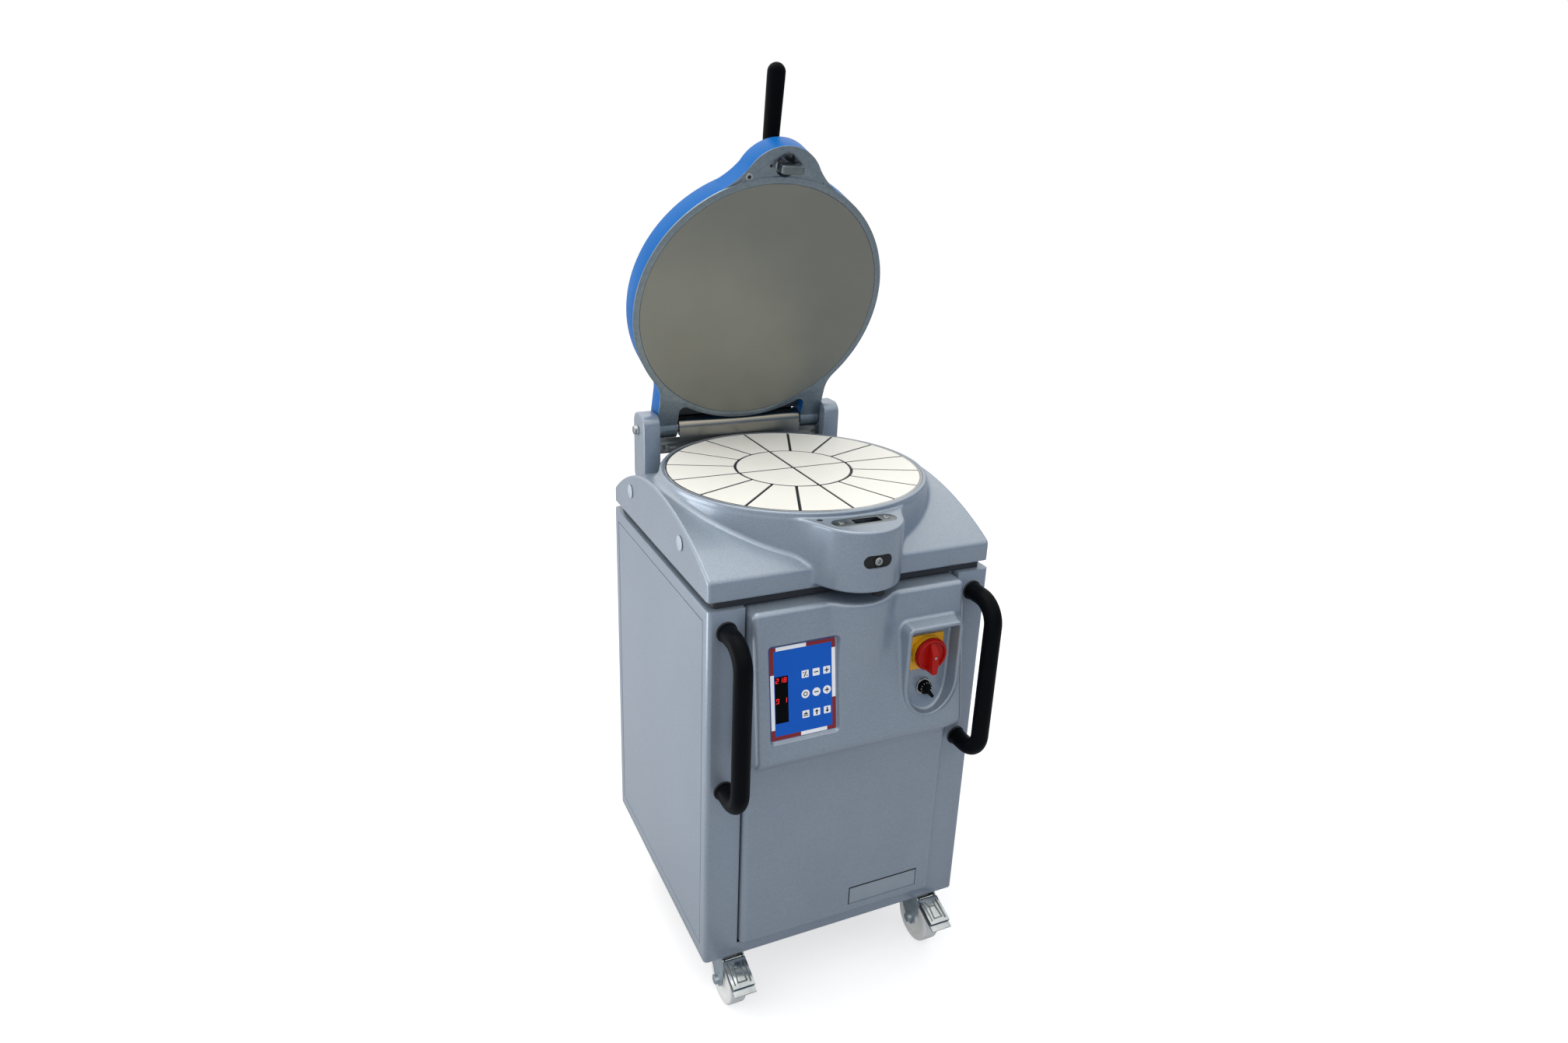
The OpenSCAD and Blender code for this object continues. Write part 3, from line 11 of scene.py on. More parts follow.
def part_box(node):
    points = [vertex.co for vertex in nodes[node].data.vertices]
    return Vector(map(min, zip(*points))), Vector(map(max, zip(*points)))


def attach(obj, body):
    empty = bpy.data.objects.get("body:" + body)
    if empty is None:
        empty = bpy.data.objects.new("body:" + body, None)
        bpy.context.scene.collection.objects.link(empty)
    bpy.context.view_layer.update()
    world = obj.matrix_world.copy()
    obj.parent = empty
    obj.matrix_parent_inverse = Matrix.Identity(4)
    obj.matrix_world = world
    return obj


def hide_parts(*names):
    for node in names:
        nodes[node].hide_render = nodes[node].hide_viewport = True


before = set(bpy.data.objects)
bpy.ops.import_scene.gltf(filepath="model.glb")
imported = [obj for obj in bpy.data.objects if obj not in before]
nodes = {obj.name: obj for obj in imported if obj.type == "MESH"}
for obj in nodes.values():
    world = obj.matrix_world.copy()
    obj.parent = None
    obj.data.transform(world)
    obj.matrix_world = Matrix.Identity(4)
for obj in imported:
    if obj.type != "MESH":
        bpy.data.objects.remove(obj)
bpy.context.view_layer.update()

MM = 0.001
TABLE_Y = 26.5              # where the table's middle lies in the row
TABLE_TOP = 966
HINGE = (278.0, 983.0)      # y and z of the lid's axis
LID_OPEN = math.radians(70)
LID_UNDER = 968             # the closed lid's bare underside
LATCH_Y = -274              # middle of the latch, in the lid and in the nose
HOOD_X, SWITCH_Z, SELECTOR_Z = 129.0, 705, 635
PLATE_AT = (95, 185)        # x and z of the bare plate
FACE_TOP = (-293.9, 817.4)  # y and z of the sloping console's upper end
FACE_LEAN = math.radians(8.134)
TO_ROW = Matrix.Scale(MM, 4) @ Matrix.Translation((0, TABLE_Y, 0))
ON_LID = (TO_ROW @ Matrix.Translation((0, *HINGE)) @ Matrix.Rotation(-LID_OPEN, 4, "X")
          @ Matrix.Translation((0, -HINGE[0], -HINGE[1])))


def linked(name, data):
    """A new object in the scene."""
    made = bpy.data.objects.new(name, data)
    bpy.context.scene.collection.objects.link(made)
    return made


def face_y(z):
    """Front of the sloping console at a height."""
    return FACE_TOP[0] - (FACE_TOP[1] - z) * math.tan(FACE_LEAN)


# ---------------------------------------------------------------- camera, light and floor

CAMERA_AT = (-0.7870, -1.5787, 1.5249)
CAMERA_TURN = (-25.69, 20.49, 2.27)  # azimuth, elevation and roll
LENS, SENSOR = 22.91, 36


def aim_camera():
    az, el, roll = (math.radians(v) for v in CAMERA_TURN)
    back = Vector((math.sin(az) * math.cos(el), -math.cos(az) * math.cos(el), math.sin(el)))
    right = Vector((0, 0, 1)).cross(back).normalized()
    up = back.cross(right)
    turned_right = math.cos(roll) * right + math.sin(roll) * up
    turned_up = -math.sin(roll) * right + math.cos(roll) * up
    camera = linked("camera", bpy.data.cameras.new("camera"))
    camera.data.sensor_width = SENSOR
    camera.data.lens = LENS
    turn = Matrix((turned_right, turned_up, back)).transposed().to_4x4()
    camera.matrix_world = Matrix.Translation(CAMERA_AT) @ turn
    bpy.context.scene.camera = camera


aim_camera()
bpy.context.scene.view_settings.view_transform = "Standard"


def linear(code):
    """sRGB hex to the linear colour that the shaders take."""
    part = [int(code[i:i + 2], 16) / 255 for i in (1, 3, 5)]
    return tuple(v / 12.92 if v <= 0.04045 else ((v + 0.055) / 1.055) ** 2.4 for v in part) + (1.0,)


def add(tree, kind, inputs=None, **settings):
    """Adds a node: its settings, and its inputs by name or number as values or as links from
    sockets. A node given as an input stands for its first output."""
    node = tree.nodes.new(kind)
    for key, value in settings.items():
        setattr(node, key, value)
    for key, value in (inputs or {}).items():
        if isinstance(value, bpy.types.Node):
            value = value.outputs[0]
        if isinstance(value, bpy.types.NodeSocket):
            tree.links.new(value, node.inputs[key])
        else:
            node.inputs[key].default_value = value
    return node


LAMPS_AIM = (0, 0, 0.85)


def light_studio():
    """White to the camera; for the machine a bright left side, ceiling and backdrop, and a dim,
    bluish front."""
    world = bpy.data.worlds.new("studio")
    bpy.context.scene.world = world
    world.use_nodes = True
    tree = world.node_tree
    tree.nodes.clear()
    white, dim_blue = (1.0, 1.0, 1.0, 1), (0.17, 0.245, 0.37, 1)
    way = add(tree, "ShaderNodeTexCoord").outputs["Generated"]
    x, y, z = add(tree, "ShaderNodeSeparateXYZ", {0: way}).outputs
    left = add(tree, "ShaderNodeMapRange", {0: x, 1: 0.1, 2: -0.9, 3: 0.0, 4: 0.55},
               interpolation_type="SMOOTHSTEP")
    high = add(tree, "ShaderNodeMapRange", {0: z, 1: 0.15, 2: 0.8, 3: 0.0, 4: 1.2},
               interpolation_type="SMOOTHSTEP")
    rays = add(tree, "ShaderNodeLightPath").outputs
    glossy = rays["Is Glossy Ray"]
    mirrored = add(tree, "ShaderNodeMath", {0: glossy, 1: 0.35, 2: 1.0}, operation="MULTIPLY_ADD")
    behind = add(tree, "ShaderNodeMapRange", {0: y, 1: 0.3, 2: 0.85, 3: 0.0, 4: 0.7},
                 interpolation_type="SMOOTHSTEP")
    sides = add(tree, "ShaderNodeMath", {0: behind, 1: glossy, 2: left}, operation="MULTIPLY_ADD")
    bright = add(tree, "ShaderNodeMath", {0: high, 1: mirrored, 2: sides},
                 operation="MULTIPLY_ADD")
    tone = add(tree, "ShaderNodeMix", {"Factor": bright, 6: dim_blue, 7: white},
               data_type="RGBA", clamp_factor=False)
    seen = add(tree, "ShaderNodeMix", {"Factor": rays["Is Camera Ray"], 6: tone.outputs[2],
                                       7: white}, data_type="RGBA")
    glow = add(tree, "ShaderNodeBackground", {"Color": seen.outputs[2], "Strength": 1.0})
    add(tree, "ShaderNodeOutputWorld", {"Surface": glow})
    for name, place, size, power, in_mirrors in (
            ("left_softbox", (-2.4, 0.8, 0.2), 1.8, 46, True),
            ("top_softbox", (-0.4, 0.1, 3.1), 1.7, 14, True),
            ("front_fill", (-0.5, -2.8, 1.3), 1.8, 6, False)):
        lamp = linked(name, bpy.data.lights.new(name, "AREA"))
        lamp.data.size = size
        lamp.data.energy = power
        lamp.location = place
        lamp.visible_glossy = in_mirrors
        aim = Vector(LAMPS_AIM) - Vector(place)
        lamp.rotation_euler = aim.to_track_quat("-Z", "Y").to_euler()


light_studio()


def lay_floor():
    """Pale floor that fades to the white surroundings and keeps the machine's soft shadow."""
    mesh = bpy.data.meshes.new("floor")
    corners = [(-9, -9, 0), (9, -9, 0), (9, 9, 0), (-9, 9, 0)]
    mesh.from_pydata(corners, [], [(0, 1, 2, 3)])
    floor = linked("floor", mesh)
    paint = bpy.data.materials.new("white_studio_floor")
    paint.use_nodes = True
    tree = paint.node_tree
    tree.nodes.clear()
    seen = add(tree, "ShaderNodeLightPath").outputs["Is Camera Ray"]
    matt = add(tree, "ShaderNodeBsdfDiffuse", {"Color": linear("#BCBDC0")})
    power = add(tree, "ShaderNodeMath", {0: seen, 1: 0.62}, operation="MULTIPLY")
    glow = add(tree, "ShaderNodeEmission", {"Color": linear("#FFFFFF"), "Strength": power})
    both = add(tree, "ShaderNodeAddShader", {0: matt, 1: glow})
    add(tree, "ShaderNodeOutputMaterial", {"Surface": both})
    mesh.materials.append(paint)


lay_floor()

# ---------------------------------------------------------------- materials


def per_mm(size):
    """Texture scale that gives features of about this many millimetres."""
    return 1.0 / (size * MM)


def new_material(name):
    made = bpy.data.materials.new(name)
    made.use_nodes = True
    made.node_tree.nodes.clear()
    made.diffuse_color = (0.5, 0.5, 0.5, 1)
    place = add(made.node_tree, "ShaderNodeTexCoord").outputs["Object"]
    return made, made.node_tree, place


FLAKE = 1.6


def surface(name, tones, rough, metallic=0.0, cloud=15, grain=0.8, bump=0.03, streak=None,
            speckle=0.0, gloss=0.5, **sockets):
    """A finish whose colour drifts between two tones over `cloud` mm, with roughness that drifts
    with it and a fine relief of `grain` mm. `streak` stretches the relief along one axis, as
    brushing does; `speckle` gives the flakes of a metallic paint; `gloss` is the mirror share."""
    made, tree, place = new_material(name)
    drift = add(tree, "ShaderNodeTexNoise", {"Vector": place, "Scale": per_mm(cloud),
                                             "Detail": 3.0, "Roughness": 0.55})
    tint = add(tree, "ShaderNodeMix", {"Factor": drift, 6: linear(tones[0]),
                                       7: linear(tones[1])}, data_type="RGBA")
    colour = tint.outputs[2]
    if speckle:
        flakes = add(tree, "ShaderNodeTexVoronoi", {"Vector": place, "Scale": per_mm(FLAKE)})
        level = add(tree, "ShaderNodeMapRange", {0: flakes.outputs["Color"], 3: 1.0 - speckle,
                                                 4: 1.0 + speckle})
        colour = add(tree, "ShaderNodeVectorMath", {0: colour, "Scale": level}, operation="SCALE")
    spread = add(tree, "ShaderNodeMapRange", {0: drift, 3: rough[0], 4: rough[1]})
    stretched = place
    if streak:
        stretched = add(tree, "ShaderNodeMapping", {"Vector": place, "Scale": streak})
    fine = add(tree, "ShaderNodeTexNoise", {"Vector": stretched, "Scale": per_mm(grain),
                                            "Detail": 2.0})
    relief = add(tree, "ShaderNodeBump", {"Height": fine, "Strength": bump, "Distance": MM})
    shader = add(tree, "ShaderNodeBsdfPrincipled", {
        "Base Color": colour, "Roughness": spread, "Metallic": metallic, "Normal": relief,
        "Specular IOR Level": gloss, **sockets})
    add(tree, "ShaderNodeOutputMaterial", {"Surface": shader})
    return made


ACROSS = (0.05, 1, 1)  # brushing along the row's width

# Two-coat metallic paint over moulded panels: a bluish silver with fine flake and the slight
# orange peel of a sprayed coat. The flakes are larger than real ones, so that they show.
silver_paint = surface("silver_metallic_paint", ("#8693A2", "#909CA9"), (0.34, 0.42), 0.4, 90, 3.2,
                       speckle=0.10, **{"Coat Weight": 0.5, "Coat Roughness": 0.12})
# The same paint on folded sheet, slightly smoother.
sheet_paint = surface("silver_paint_on_sheet", ("#8693A2", "#909CA9"), (0.34, 0.42), 0.4, 140, 2.6,
                      0.02, speckle=0.09, **{"Coat Weight": 0.4, "Coat Roughness": 0.15})
# Brushed stainless of the press plate: warm grey, fine lines across, and faint cloudy light and dark
# patches of painted reflection.
brushed_plate_painted_reflection = surface("brushed_stainless_plate", ("#7F8079", "#94958D"), (0.34, 0.44), 1.0, 190,
                        0.9, streak=(0.03, 1, 1))
# Bright stainless of the tank ring and of the selector's bezel.
bright_steel = surface("polished_stainless", ("#A3A6A6", "#B8BABB"), (0.16, 0.26), 1.0, 45,
                       bump=0.02, streak=ACROSS)
# Rolled stainless of the hinge guard, warm grey and half bright.
rolled_steel = surface("rolled_stainless", ("#85837A", "#9A988F"), (0.20, 0.30), 1.0, 60,
                       bump=0.02, streak=ACROSS)
# Ground knife steel between the white segments, coloured dull and dark as painted shade of the slots.
knife_steel_painted_slot_shade = surface("ground_knife_steel", ("#26292C", "#36393D"), (0.42, 0.52), 0.35, 18,
                      gloss=0.1)
# Bright zinc plating on castor plates and lock: cool, with soft patches.
zinc_plate = surface("bright_zinc_plating", ("#8F989F", "#AAB1B5"), (0.10, 0.20), 1.0, 26, 1.2,
                     0.02)
# Machined steel of shafts and screws.
machined_steel = surface("machined_steel", ("#9A9EA2", "#B4B7B9"), (0.22, 0.34), 1.0, 12, 0.7)
# Milled steel of the latch and the striker plate, grey and satin.
milled_steel = surface("milled_steel", ("#666E72", "#808789"), (0.24, 0.36), 1.0, 20, 1.0, 0.05)
# Pressed and zinc-plated sheet: light and dark patches of painted reflection that slide over the
# stamped relief.
pressed_zinc_painted_reflections = surface("pressed_zinc_sheet", ("#68737A", "#D2D8DA"), (0.10, 0.20), 1.0, 34, 1.0,
                       0.04)
# Thick blue-passivated zinc on the forks: satin, with a grey-blue cast.
fork_zinc = surface("blue_passivated_zinc", ("#8796A0", "#A9B6BE"), (0.22, 0.32), 0.6, 24, 1.0,
                    0.04)
# Dark primer on the welded frame inside: flat and almost black; the same near-black is painted shade
# on the hinge flap.
dark_primer = surface("dark_primer", ("#24282D", "#2D3137"), (0.5, 0.62), 0, 50, 2.0, 0.05)
# Satin black plastic-coated tube of the push handles, with a faint bloom of handling.
black_coating = surface("black_tube_coating", ("#07090C", "#0B0E12"), (0.34, 0.42), 0, 40, 1.1,
                        0.04, gloss=0.04)
# Moulded black nylon of the lid's grip and of the small knob, deep and matt.
black_nylon = surface("black_moulded_nylon", ("#060709", "#0A0B0E"), (0.38, 0.46), 0, 25, 0.9,
                      0.05, gloss=0.04)
# Food-grade polyethylene segments: off-white, matt, with light that sinks in a little.
white_board = surface("white_polyethylene", ("#EFEEE6", "#F4F3EC"), (0.42, 0.52), 0, 70, 1.4,
                      **{"Subsurface Weight": 0.08, "Subsurface Radius": (0.004, 0.004, 0.003)})
# Cast nylon wheels: pale, slightly translucent at the rim.
cream_nylon = surface("cream_cast_nylon", ("#D6D8D7", "#E2E3E1"), (0.34, 0.44), 0, 18, 1.6, 0.04,
                      **{"Subsurface Weight": 0.15, "Subsurface Radius": (0.006, 0.005, 0.003)})
# Injection-moulded switch parts: clear yellow and signal red.
yellow_mould = surface("yellow_moulded_plastic", ("#E9A70A", "#F0B214"), (0.30, 0.38))
red_mould = surface("red_moulded_plastic", ("#A0100A", "#AC150E"), (0.30, 0.38), gloss=0.2)
# Polyester keypad film printed from behind: saturated blue under a fine matt texture, with white
# and dark red borders, a black window and its lit figures.
blue_film = surface("blue_keypad_film", ("#0858BE", "#0C5FC8"), (0.36, 0.42), 0, 60, 0.6, 0.02,
                    gloss=0.2)
white_print = surface("white_film_print", ("#F2F4F6", "#F8F9FA"), (0.34, 0.4), 0, 20, 0.6, 0.02)
red_print = surface("dark_red_film_print", ("#7A1016", "#86151B"), (0.34, 0.4), 0, 20, 0.6, 0.02)
black_print = surface("black_display_window", ("#040506", "#07080A"), (0.3, 0.36), 0, 20, 0.6,
                      0.01, gloss=0.05)
lit_red = surface("lit_red_segments", ("#E01820", "#E82028"), (0.4, 0.45), 0, 10, 0.6, 0.01,
                  **{"Emission Color": linear("#FF1E20"), "Emission Strength": 0.7})
# Plain bearing bronze in the lugs, warm and half dull.
bearing_bronze = surface("bearing_bronze", ("#8E6F3E", "#A07F48"), (0.28, 0.4), 1.0, 10)
# Light grey plastic plugs in the cover's sides, paler than the paint.
plug_plastic = surface("grey_plug_plastic", ("#A9B3BE", "#B4BDC7"), (0.4, 0.46), bump=0.02)
# Black rubber and dark seams; also painted shade: the grounds of holes and the shadow along the bare
# plate's upper and left edges.
black_seal = surface("black_seal", ("#0A0B0D", "#101215"), (0.6, 0.7), bump=0.04)
# Bare aluminium plate in the panel's recess, finely brushed lengthways.
bare_plate = surface("brushed_aluminium_plate", ("#98A3AE", "#A2ADB7"), (0.30, 0.36), 0.6, 40, 0.7,
                     streak=(0.04, 1, 1))


def cast_lid_finish():
    """Cast aluminium lid: gloss blue paint with a slight orange peel, left bare and face-milled
    on the underside and in the latch's bore, where the grey metal is mottled by the casting's
    pores and by wiping."""
    made, tree, place = new_material("blue_paint_on_cast_aluminium")
    under, latch = (tuple(ON_LID @ Vector((0, y, LID_UNDER))) for y in (0, LATCH_Y))
    normal = tuple((ON_LID.to_3x3() @ Vector((0, 0, 1))).normalized())
    paint_edge, ragged_by, bore_r = 3.4 * MM, 0.6 * MM, 21.8 * MM
    away = add(tree, "ShaderNodeVectorMath", {0: place, 1: under}, operation="SUBTRACT")
    depth = add(tree, "ShaderNodeVectorMath", {0: away, 1: normal}, operation="DOT_PRODUCT")
    edge = add(tree, "ShaderNodeTexNoise", {"Vector": place, "Scale": per_mm(5)})
    ragged = add(tree, "ShaderNodeMath", {0: edge, 1: ragged_by, 2: depth.outputs["Value"]},
                 operation="MULTIPLY_ADD")
    milled = add(tree, "ShaderNodeMath", {0: ragged, 1: paint_edge}, operation="LESS_THAN")
    bore = add(tree, "ShaderNodeVectorMath", {0: place, 1: latch}, operation="SUBTRACT")
    beside = add(tree, "ShaderNodeVectorMath", {0: bore, 1: normal}, operation="CROSS_PRODUCT")
    apart = add(tree, "ShaderNodeVectorMath", {0: beside}, operation="LENGTH")
    bored = add(tree, "ShaderNodeMath", {0: apart.outputs["Value"], 1: bore_r},
                operation="LESS_THAN")
    bare = add(tree, "ShaderNodeMath", {0: milled, 1: bored}, operation="MAXIMUM")
    pores = add(tree, "ShaderNodeTexNoise", {"Vector": place, "Scale": per_mm(7), "Detail": 6.0,
                                             "Roughness": 0.65})
    metal = add(tree, "ShaderNodeMix", {"Factor": pores, 6: linear("#68757D"),
                                        7: linear("#9AA5AC")}, data_type="RGBA")
    cloud = add(tree, "ShaderNodeTexNoise", {"Vector": place, "Scale": per_mm(80), "Detail": 2.0})
    blue = add(tree, "ShaderNodeMix", {"Factor": cloud, 6: linear("#045DA6"),
                                       7: linear("#0866B2")}, data_type="RGBA")
    colour = add(tree, "ShaderNodeMix", {"Factor": bare, 6: blue.outputs[2],
                                         7: metal.outputs[2]}, data_type="RGBA")
    worn = add(tree, "ShaderNodeMapRange", {0: pores, 3: 0.30, 4: 0.50})
    rough = add(tree, "ShaderNodeMix", {"Factor": bare, "A": 0.38, "B": worn})
    shine = add(tree, "ShaderNodeMath", {0: bare, 1: 0.95}, operation="MULTIPLY")
    peel = add(tree, "ShaderNodeTexNoise", {"Vector": place, "Scale": per_mm(3), "Detail": 2.0})
    relief = add(tree, "ShaderNodeBump", {"Height": peel, "Strength": 0.05, "Distance": MM})
    shader = add(tree, "ShaderNodeBsdfPrincipled", {
        "Base Color": colour.outputs[2], "Roughness": rough, "Metallic": shine, "Normal": relief,
        "Specular IOR Level": 0.12})
    add(tree, "ShaderNodeOutputMaterial", {"Surface": shader})
    return made


lid_finish = cast_lid_finish()

# ---------------------------------------------------------------- forms


def meet(a, b, r):
    """Two distance fields intersected, with an edge of radius r."""
    return np.minimum(np.maximum(a, b), -r) + np.hypot(np.maximum(a + r, 0), np.maximum(b + r, 0))


def join(a, b, r):
    """Two distance fields joined, with a fillet of radius r."""
    return np.maximum(np.minimum(a, b), r) - np.hypot(np.maximum(r - a, 0), np.maximum(r - b, 0))


def flat_rect(u, v, w, h, r):
    qu, qv = np.abs(u) - w / 2 + r, np.abs(v) - h / 2 + r
    return np.minimum(np.maximum(qu, qv), 0) + np.hypot(np.maximum(qu, 0), np.maximum(qv, 0)) - r


def flat_polygon(u, v, points):
    """Signed distance to a closed outline, inside negative."""
    shape = np.broadcast(u, v).shape
    best = np.full(shape, 1e9)
    inside = np.zeros(shape, bool)
    for (u0, v0), (u1, v1) in zip(points, points[1:] + points[:1]):
        du, dv = u1 - u0, v1 - v0
        t = np.clip(((u - u0) * du + (v - v0) * dv) / (du * du + dv * dv), 0, 1)
        best = np.minimum(best, np.hypot(u - u0 - t * du, v - v0 - t * dv))
        if dv != 0:
            crosses = ((v0 <= v) & (v < v1)) | ((v1 <= v) & (v < v0))
            inside ^= crosses & (u < u0 + (v - v0) / dv * du)
    return np.where(inside, -best, best)


def skin(field, low, high, step):
    """Surface of a distance field as points and outward quads, each point pushed onto it."""
    axes = [np.arange(a - 1.5 * step, b + 2.5 * step, step) for a, b in zip(low, high)]
    d = field(*np.meshgrid(*axes, indexing="ij", sparse=True))
    n = [len(a) - 1 for a in axes]

    def part(values, start, sizes=n):
        return values[tuple(slice(s, s + k) for s, k in zip(start, sizes))]

    # one point in each cell that the surface crosses, in the middle of its edges' crossings
    total, count = np.zeros((*n, 3)), np.zeros(n)
    base = np.stack(np.meshgrid(*[np.arange(k, dtype=float) for k in n], indexing="ij"), -1)
    for axis in range(3):
        for far in ((0, 0), (0, 1), (1, 0), (1, 1)):
            start = np.insert(far, axis, 0)
            a, b = part(d, start), part(d, np.insert(far, axis, 1))
            crossing = (a < 0) != (b < 0)
            spot = base + start
            spot[..., axis] += np.where(crossing, a / np.where(crossing, a - b, 1), 0)
            total += spot * crossing[..., None]
            count += crossing
    used = count > 0
    index = np.full(n, -1)
    index[used] = np.arange(used.sum())
    points = total[used] / count[used][:, None] * step + np.array([a[0] for a in axes])
    # one quad round each edge that crosses the surface
    quads = []
    for axis in range(3):
        sizes = [k - (i != axis) for i, k in enumerate(n)]
        a, b = part(d < 0, [i != axis for i in range(3)], sizes), part(d < 0, (1, 1, 1), sizes)
        corners = []
        for turn in ((0, 0), (1, 0), (1, 1), (0, 1)):
            cell = np.roll((0, *turn), axis)
            corners.append(part(index, cell, sizes))
        for flag, order in ((a & ~b, (0, 1, 2, 3)), (~a & b, (3, 2, 1, 0))):
            quads.append(np.stack([corners[k][flag] for k in order], -1))
    probe = 0.2
    for _ in range(4):
        value = field(*points.T)
        slope = np.stack([(field(*(points + probe * e).T) - field(*(points - probe * e).T))
                          / (2 * probe) for e in np.eye(3)], -1)
        size = np.maximum((slope ** 2).sum(-1), 0.25)
        points = points - np.clip(value / size, -step, step)[:, None] * slope
    return points, np.concatenate(quads)


def to_mesh(name, points, faces):
    mesh = bpy.data.meshes.new(name)
    mesh.from_pydata([tuple(TO_ROW @ Vector(p)) for p in points], [],
                     [tuple(map(int, f)) for f in faces])
    mesh.validate()
    mesh.update()
    return mesh


def flat_backed(mesh, side):
    """Gives a mesh one plain face where its flat, unseen side has many."""
    bm = bmesh.new()
    bm.from_mesh(mesh)
    plain = [f for f in bm.faces if f.normal.dot(Vector(side)) > 0.9999]
    bmesh.ops.delete(bm, geom=plain, context="FACES")
    bmesh.ops.holes_fill(bm, edges=[e for e in bm.edges if e.is_boundary])
    bmesh.ops.recalc_face_normals(bm, faces=bm.faces)
    bm.to_mesh(mesh)
    bm.free()
    return mesh


def new_piece(name, mesh, finish, body, stands_for=()):
    """A finished piece: rides on a body, has a material, and hides the parts it stands for."""
    piece = linked(name, mesh)
    if finish:
        mesh.materials.clear()
        mesh.materials.append(finish)
    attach(piece, body)
    if stands_for:
        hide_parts(*stands_for)
    return piece


def baked(piece):
    """Turns a piece's modifiers into a plain mesh."""
    bpy.context.view_layer.update()
    graph = bpy.context.evaluated_depsgraph_get()
    mesh = bpy.data.meshes.new_from_object(piece.evaluated_get(graph), depsgraph=graph)
    mesh.name = piece.name
    return mesh


def cut(mesh, cutters):
    """Cuts closed meshes out of a closed mesh."""
    piece = linked("being_cut", mesh)
    tools = []
    for cutter in cutters:
        tool = linked("cutter", cutter)
        tools.append(tool)
        step = piece.modifiers.new("cut", "BOOLEAN")
        step.operation, step.solver, step.object = "DIFFERENCE", "EXACT", tool
    result = baked(piece)
    for extra in [piece, *tools]:
        bpy.data.objects.remove(extra)
    return result


def smooth(mesh, angle=35):
    """Smooth shading that keeps edges sharper than the angle."""
    mesh.shade_smooth()
    mesh.set_sharp_from_angle(angle=math.radians(angle))
    return mesh


def evened(mesh):
    """Shades by face area, so that a flat sheet stays flat up to its rounded edges."""
    total = np.zeros((len(mesh.vertices), 3))
    for face in mesh.polygons:
        total[list(face.vertices)] += np.array(face.normal) * face.area
    total /= np.maximum(np.linalg.norm(total, axis=1, keepdims=True), 1e-12)
    mesh.shade_smooth()
    mesh.normals_split_custom_set_from_vertices(total.tolist())
    return mesh


def listed(items, key, width, kind=float):
    """A value of all vertices, corners or faces of a mesh, in rows."""
    values = np.empty(len(items) * width, kind)
    items.foreach_get(key, values)
    return values.reshape(-1, width) if width > 1 else values


def field_shaded(mesh, field):
    """Shades a mesh by the slope of the field it was made from; cut faces stay flat."""
    back = np.array(TO_ROW.inverted())
    x, y, z = (listed(mesh.vertices, "co", 3) @ back[:3, :3].T + back[:3, 3]).T
    h = 0.06
    slope = np.stack([field(x + h, y, z) - field(x - h, y, z),
                      field(x, y + h, z) - field(x, y - h, z),
                      field(x, y, z + h) - field(x, y, z - h)], -1)
    slope /= np.maximum(np.linalg.norm(slope, axis=1, keepdims=True), 1e-9)
    on = np.abs(field(x, y, z)) < 0.1
    corners = listed(mesh.loops, "vertex_index", 1, np.int32)
    flat = np.repeat(listed(mesh.polygons, "normal", 3),
                     listed(mesh.polygons, "loop_total", 1, np.int32), axis=0)
    turned_by = slope[corners]
    keep = on[corners] & ((turned_by * flat).sum(1) > 0.6)
    mesh.shade_smooth()
    mesh.normals_split_custom_set(np.where(keep[:, None], turned_by, flat).tolist())
    return mesh


def circle(d, n=48):
    return [(d / 2 * math.cos(2 * math.pi * i / n), d / 2 * math.sin(2 * math.pi * i / n))
            for i in range(n)]


def rect(w, h, r=0.0, n=6):
    if r <= 0:
        return [(-w / 2, -h / 2), (w / 2, -h / 2), (w / 2, h / 2), (-w / 2, h / 2)]
    out = []
    for cx, cy, start in ((w / 2 - r, h / 2 - r, 0), (r - w / 2, h / 2 - r, 90),
                          (r - w / 2, r - h / 2, 180), (w / 2 - r, r - h / 2, 270)):
        for i in range(n + 1):
            a = math.radians(start + 90 * i / n)
            out.append((cx + r * math.cos(a), cy + r * math.sin(a)))
    return out


def obround(l, w, n=16):
    return rect(l, w, w / 2 - 1e-4, n)


def plane_at(origin, u, v):
    """Place of a flat outline: origin, its two directions, and their normal as depth."""
    u, v = Vector(u).normalized(), Vector(v).normalized()
    turn = Matrix((u, v, u.cross(v))).transposed().to_4x4()
    return Matrix.Translation(Vector(origin)) @ turn


def prism(bm, outline, place, low, high, kind=0):
    """Extrudes an outline from low to high along the place's normal."""
    rings = [[bm.verts.new(place @ Vector((u, v, w))) for u, v in outline] for w in (low, high)]
    faces = [bm.faces.new(rings[0][::-1]), bm.faces.new(rings[1])]
    for i in range(len(outline)):
        j = (i + 1) % len(outline)
        faces.append(bm.faces.new((rings[0][i], rings[0][j], rings[1][j], rings[1][i])))
    for f in faces:
        f.material_index = kind


def loft(bm, rings, closed=False, capped=True):
    """Joins rings of points one to the next, or the last to the first; one point makes a tip."""
    n = max(map(len, rings))
    for a, b in zip(rings, rings[1:] + rings[:1] if closed else rings[1:]):
        for i in range(n):
            j = (i + 1) % n
            corners = a[i % len(a)], a[j % len(a)], b[j % len(b)], b[i % len(b)]
            bm.faces.new(list(dict.fromkeys(corners)))
    if capped and not closed:
        for cap in (rings[0][::-1], rings[-1]):
            if len(cap) > 1:
                bm.faces.new(cap)


def turned(bm, profile, place, n=48, closed=False):
    """Turns a profile of (radius, height) about the place's normal. Its ends are capped, unless
    the profile is closed and stays off the axis."""
    rings = []
    for r, w in profile:
        outline = circle(2 * r, n) if r > 1e-6 else [(0, 0)]
        rings.append([bm.verts.new(place @ Vector((u, v, w))) for u, v in outline])
    loft(bm, rings, closed)


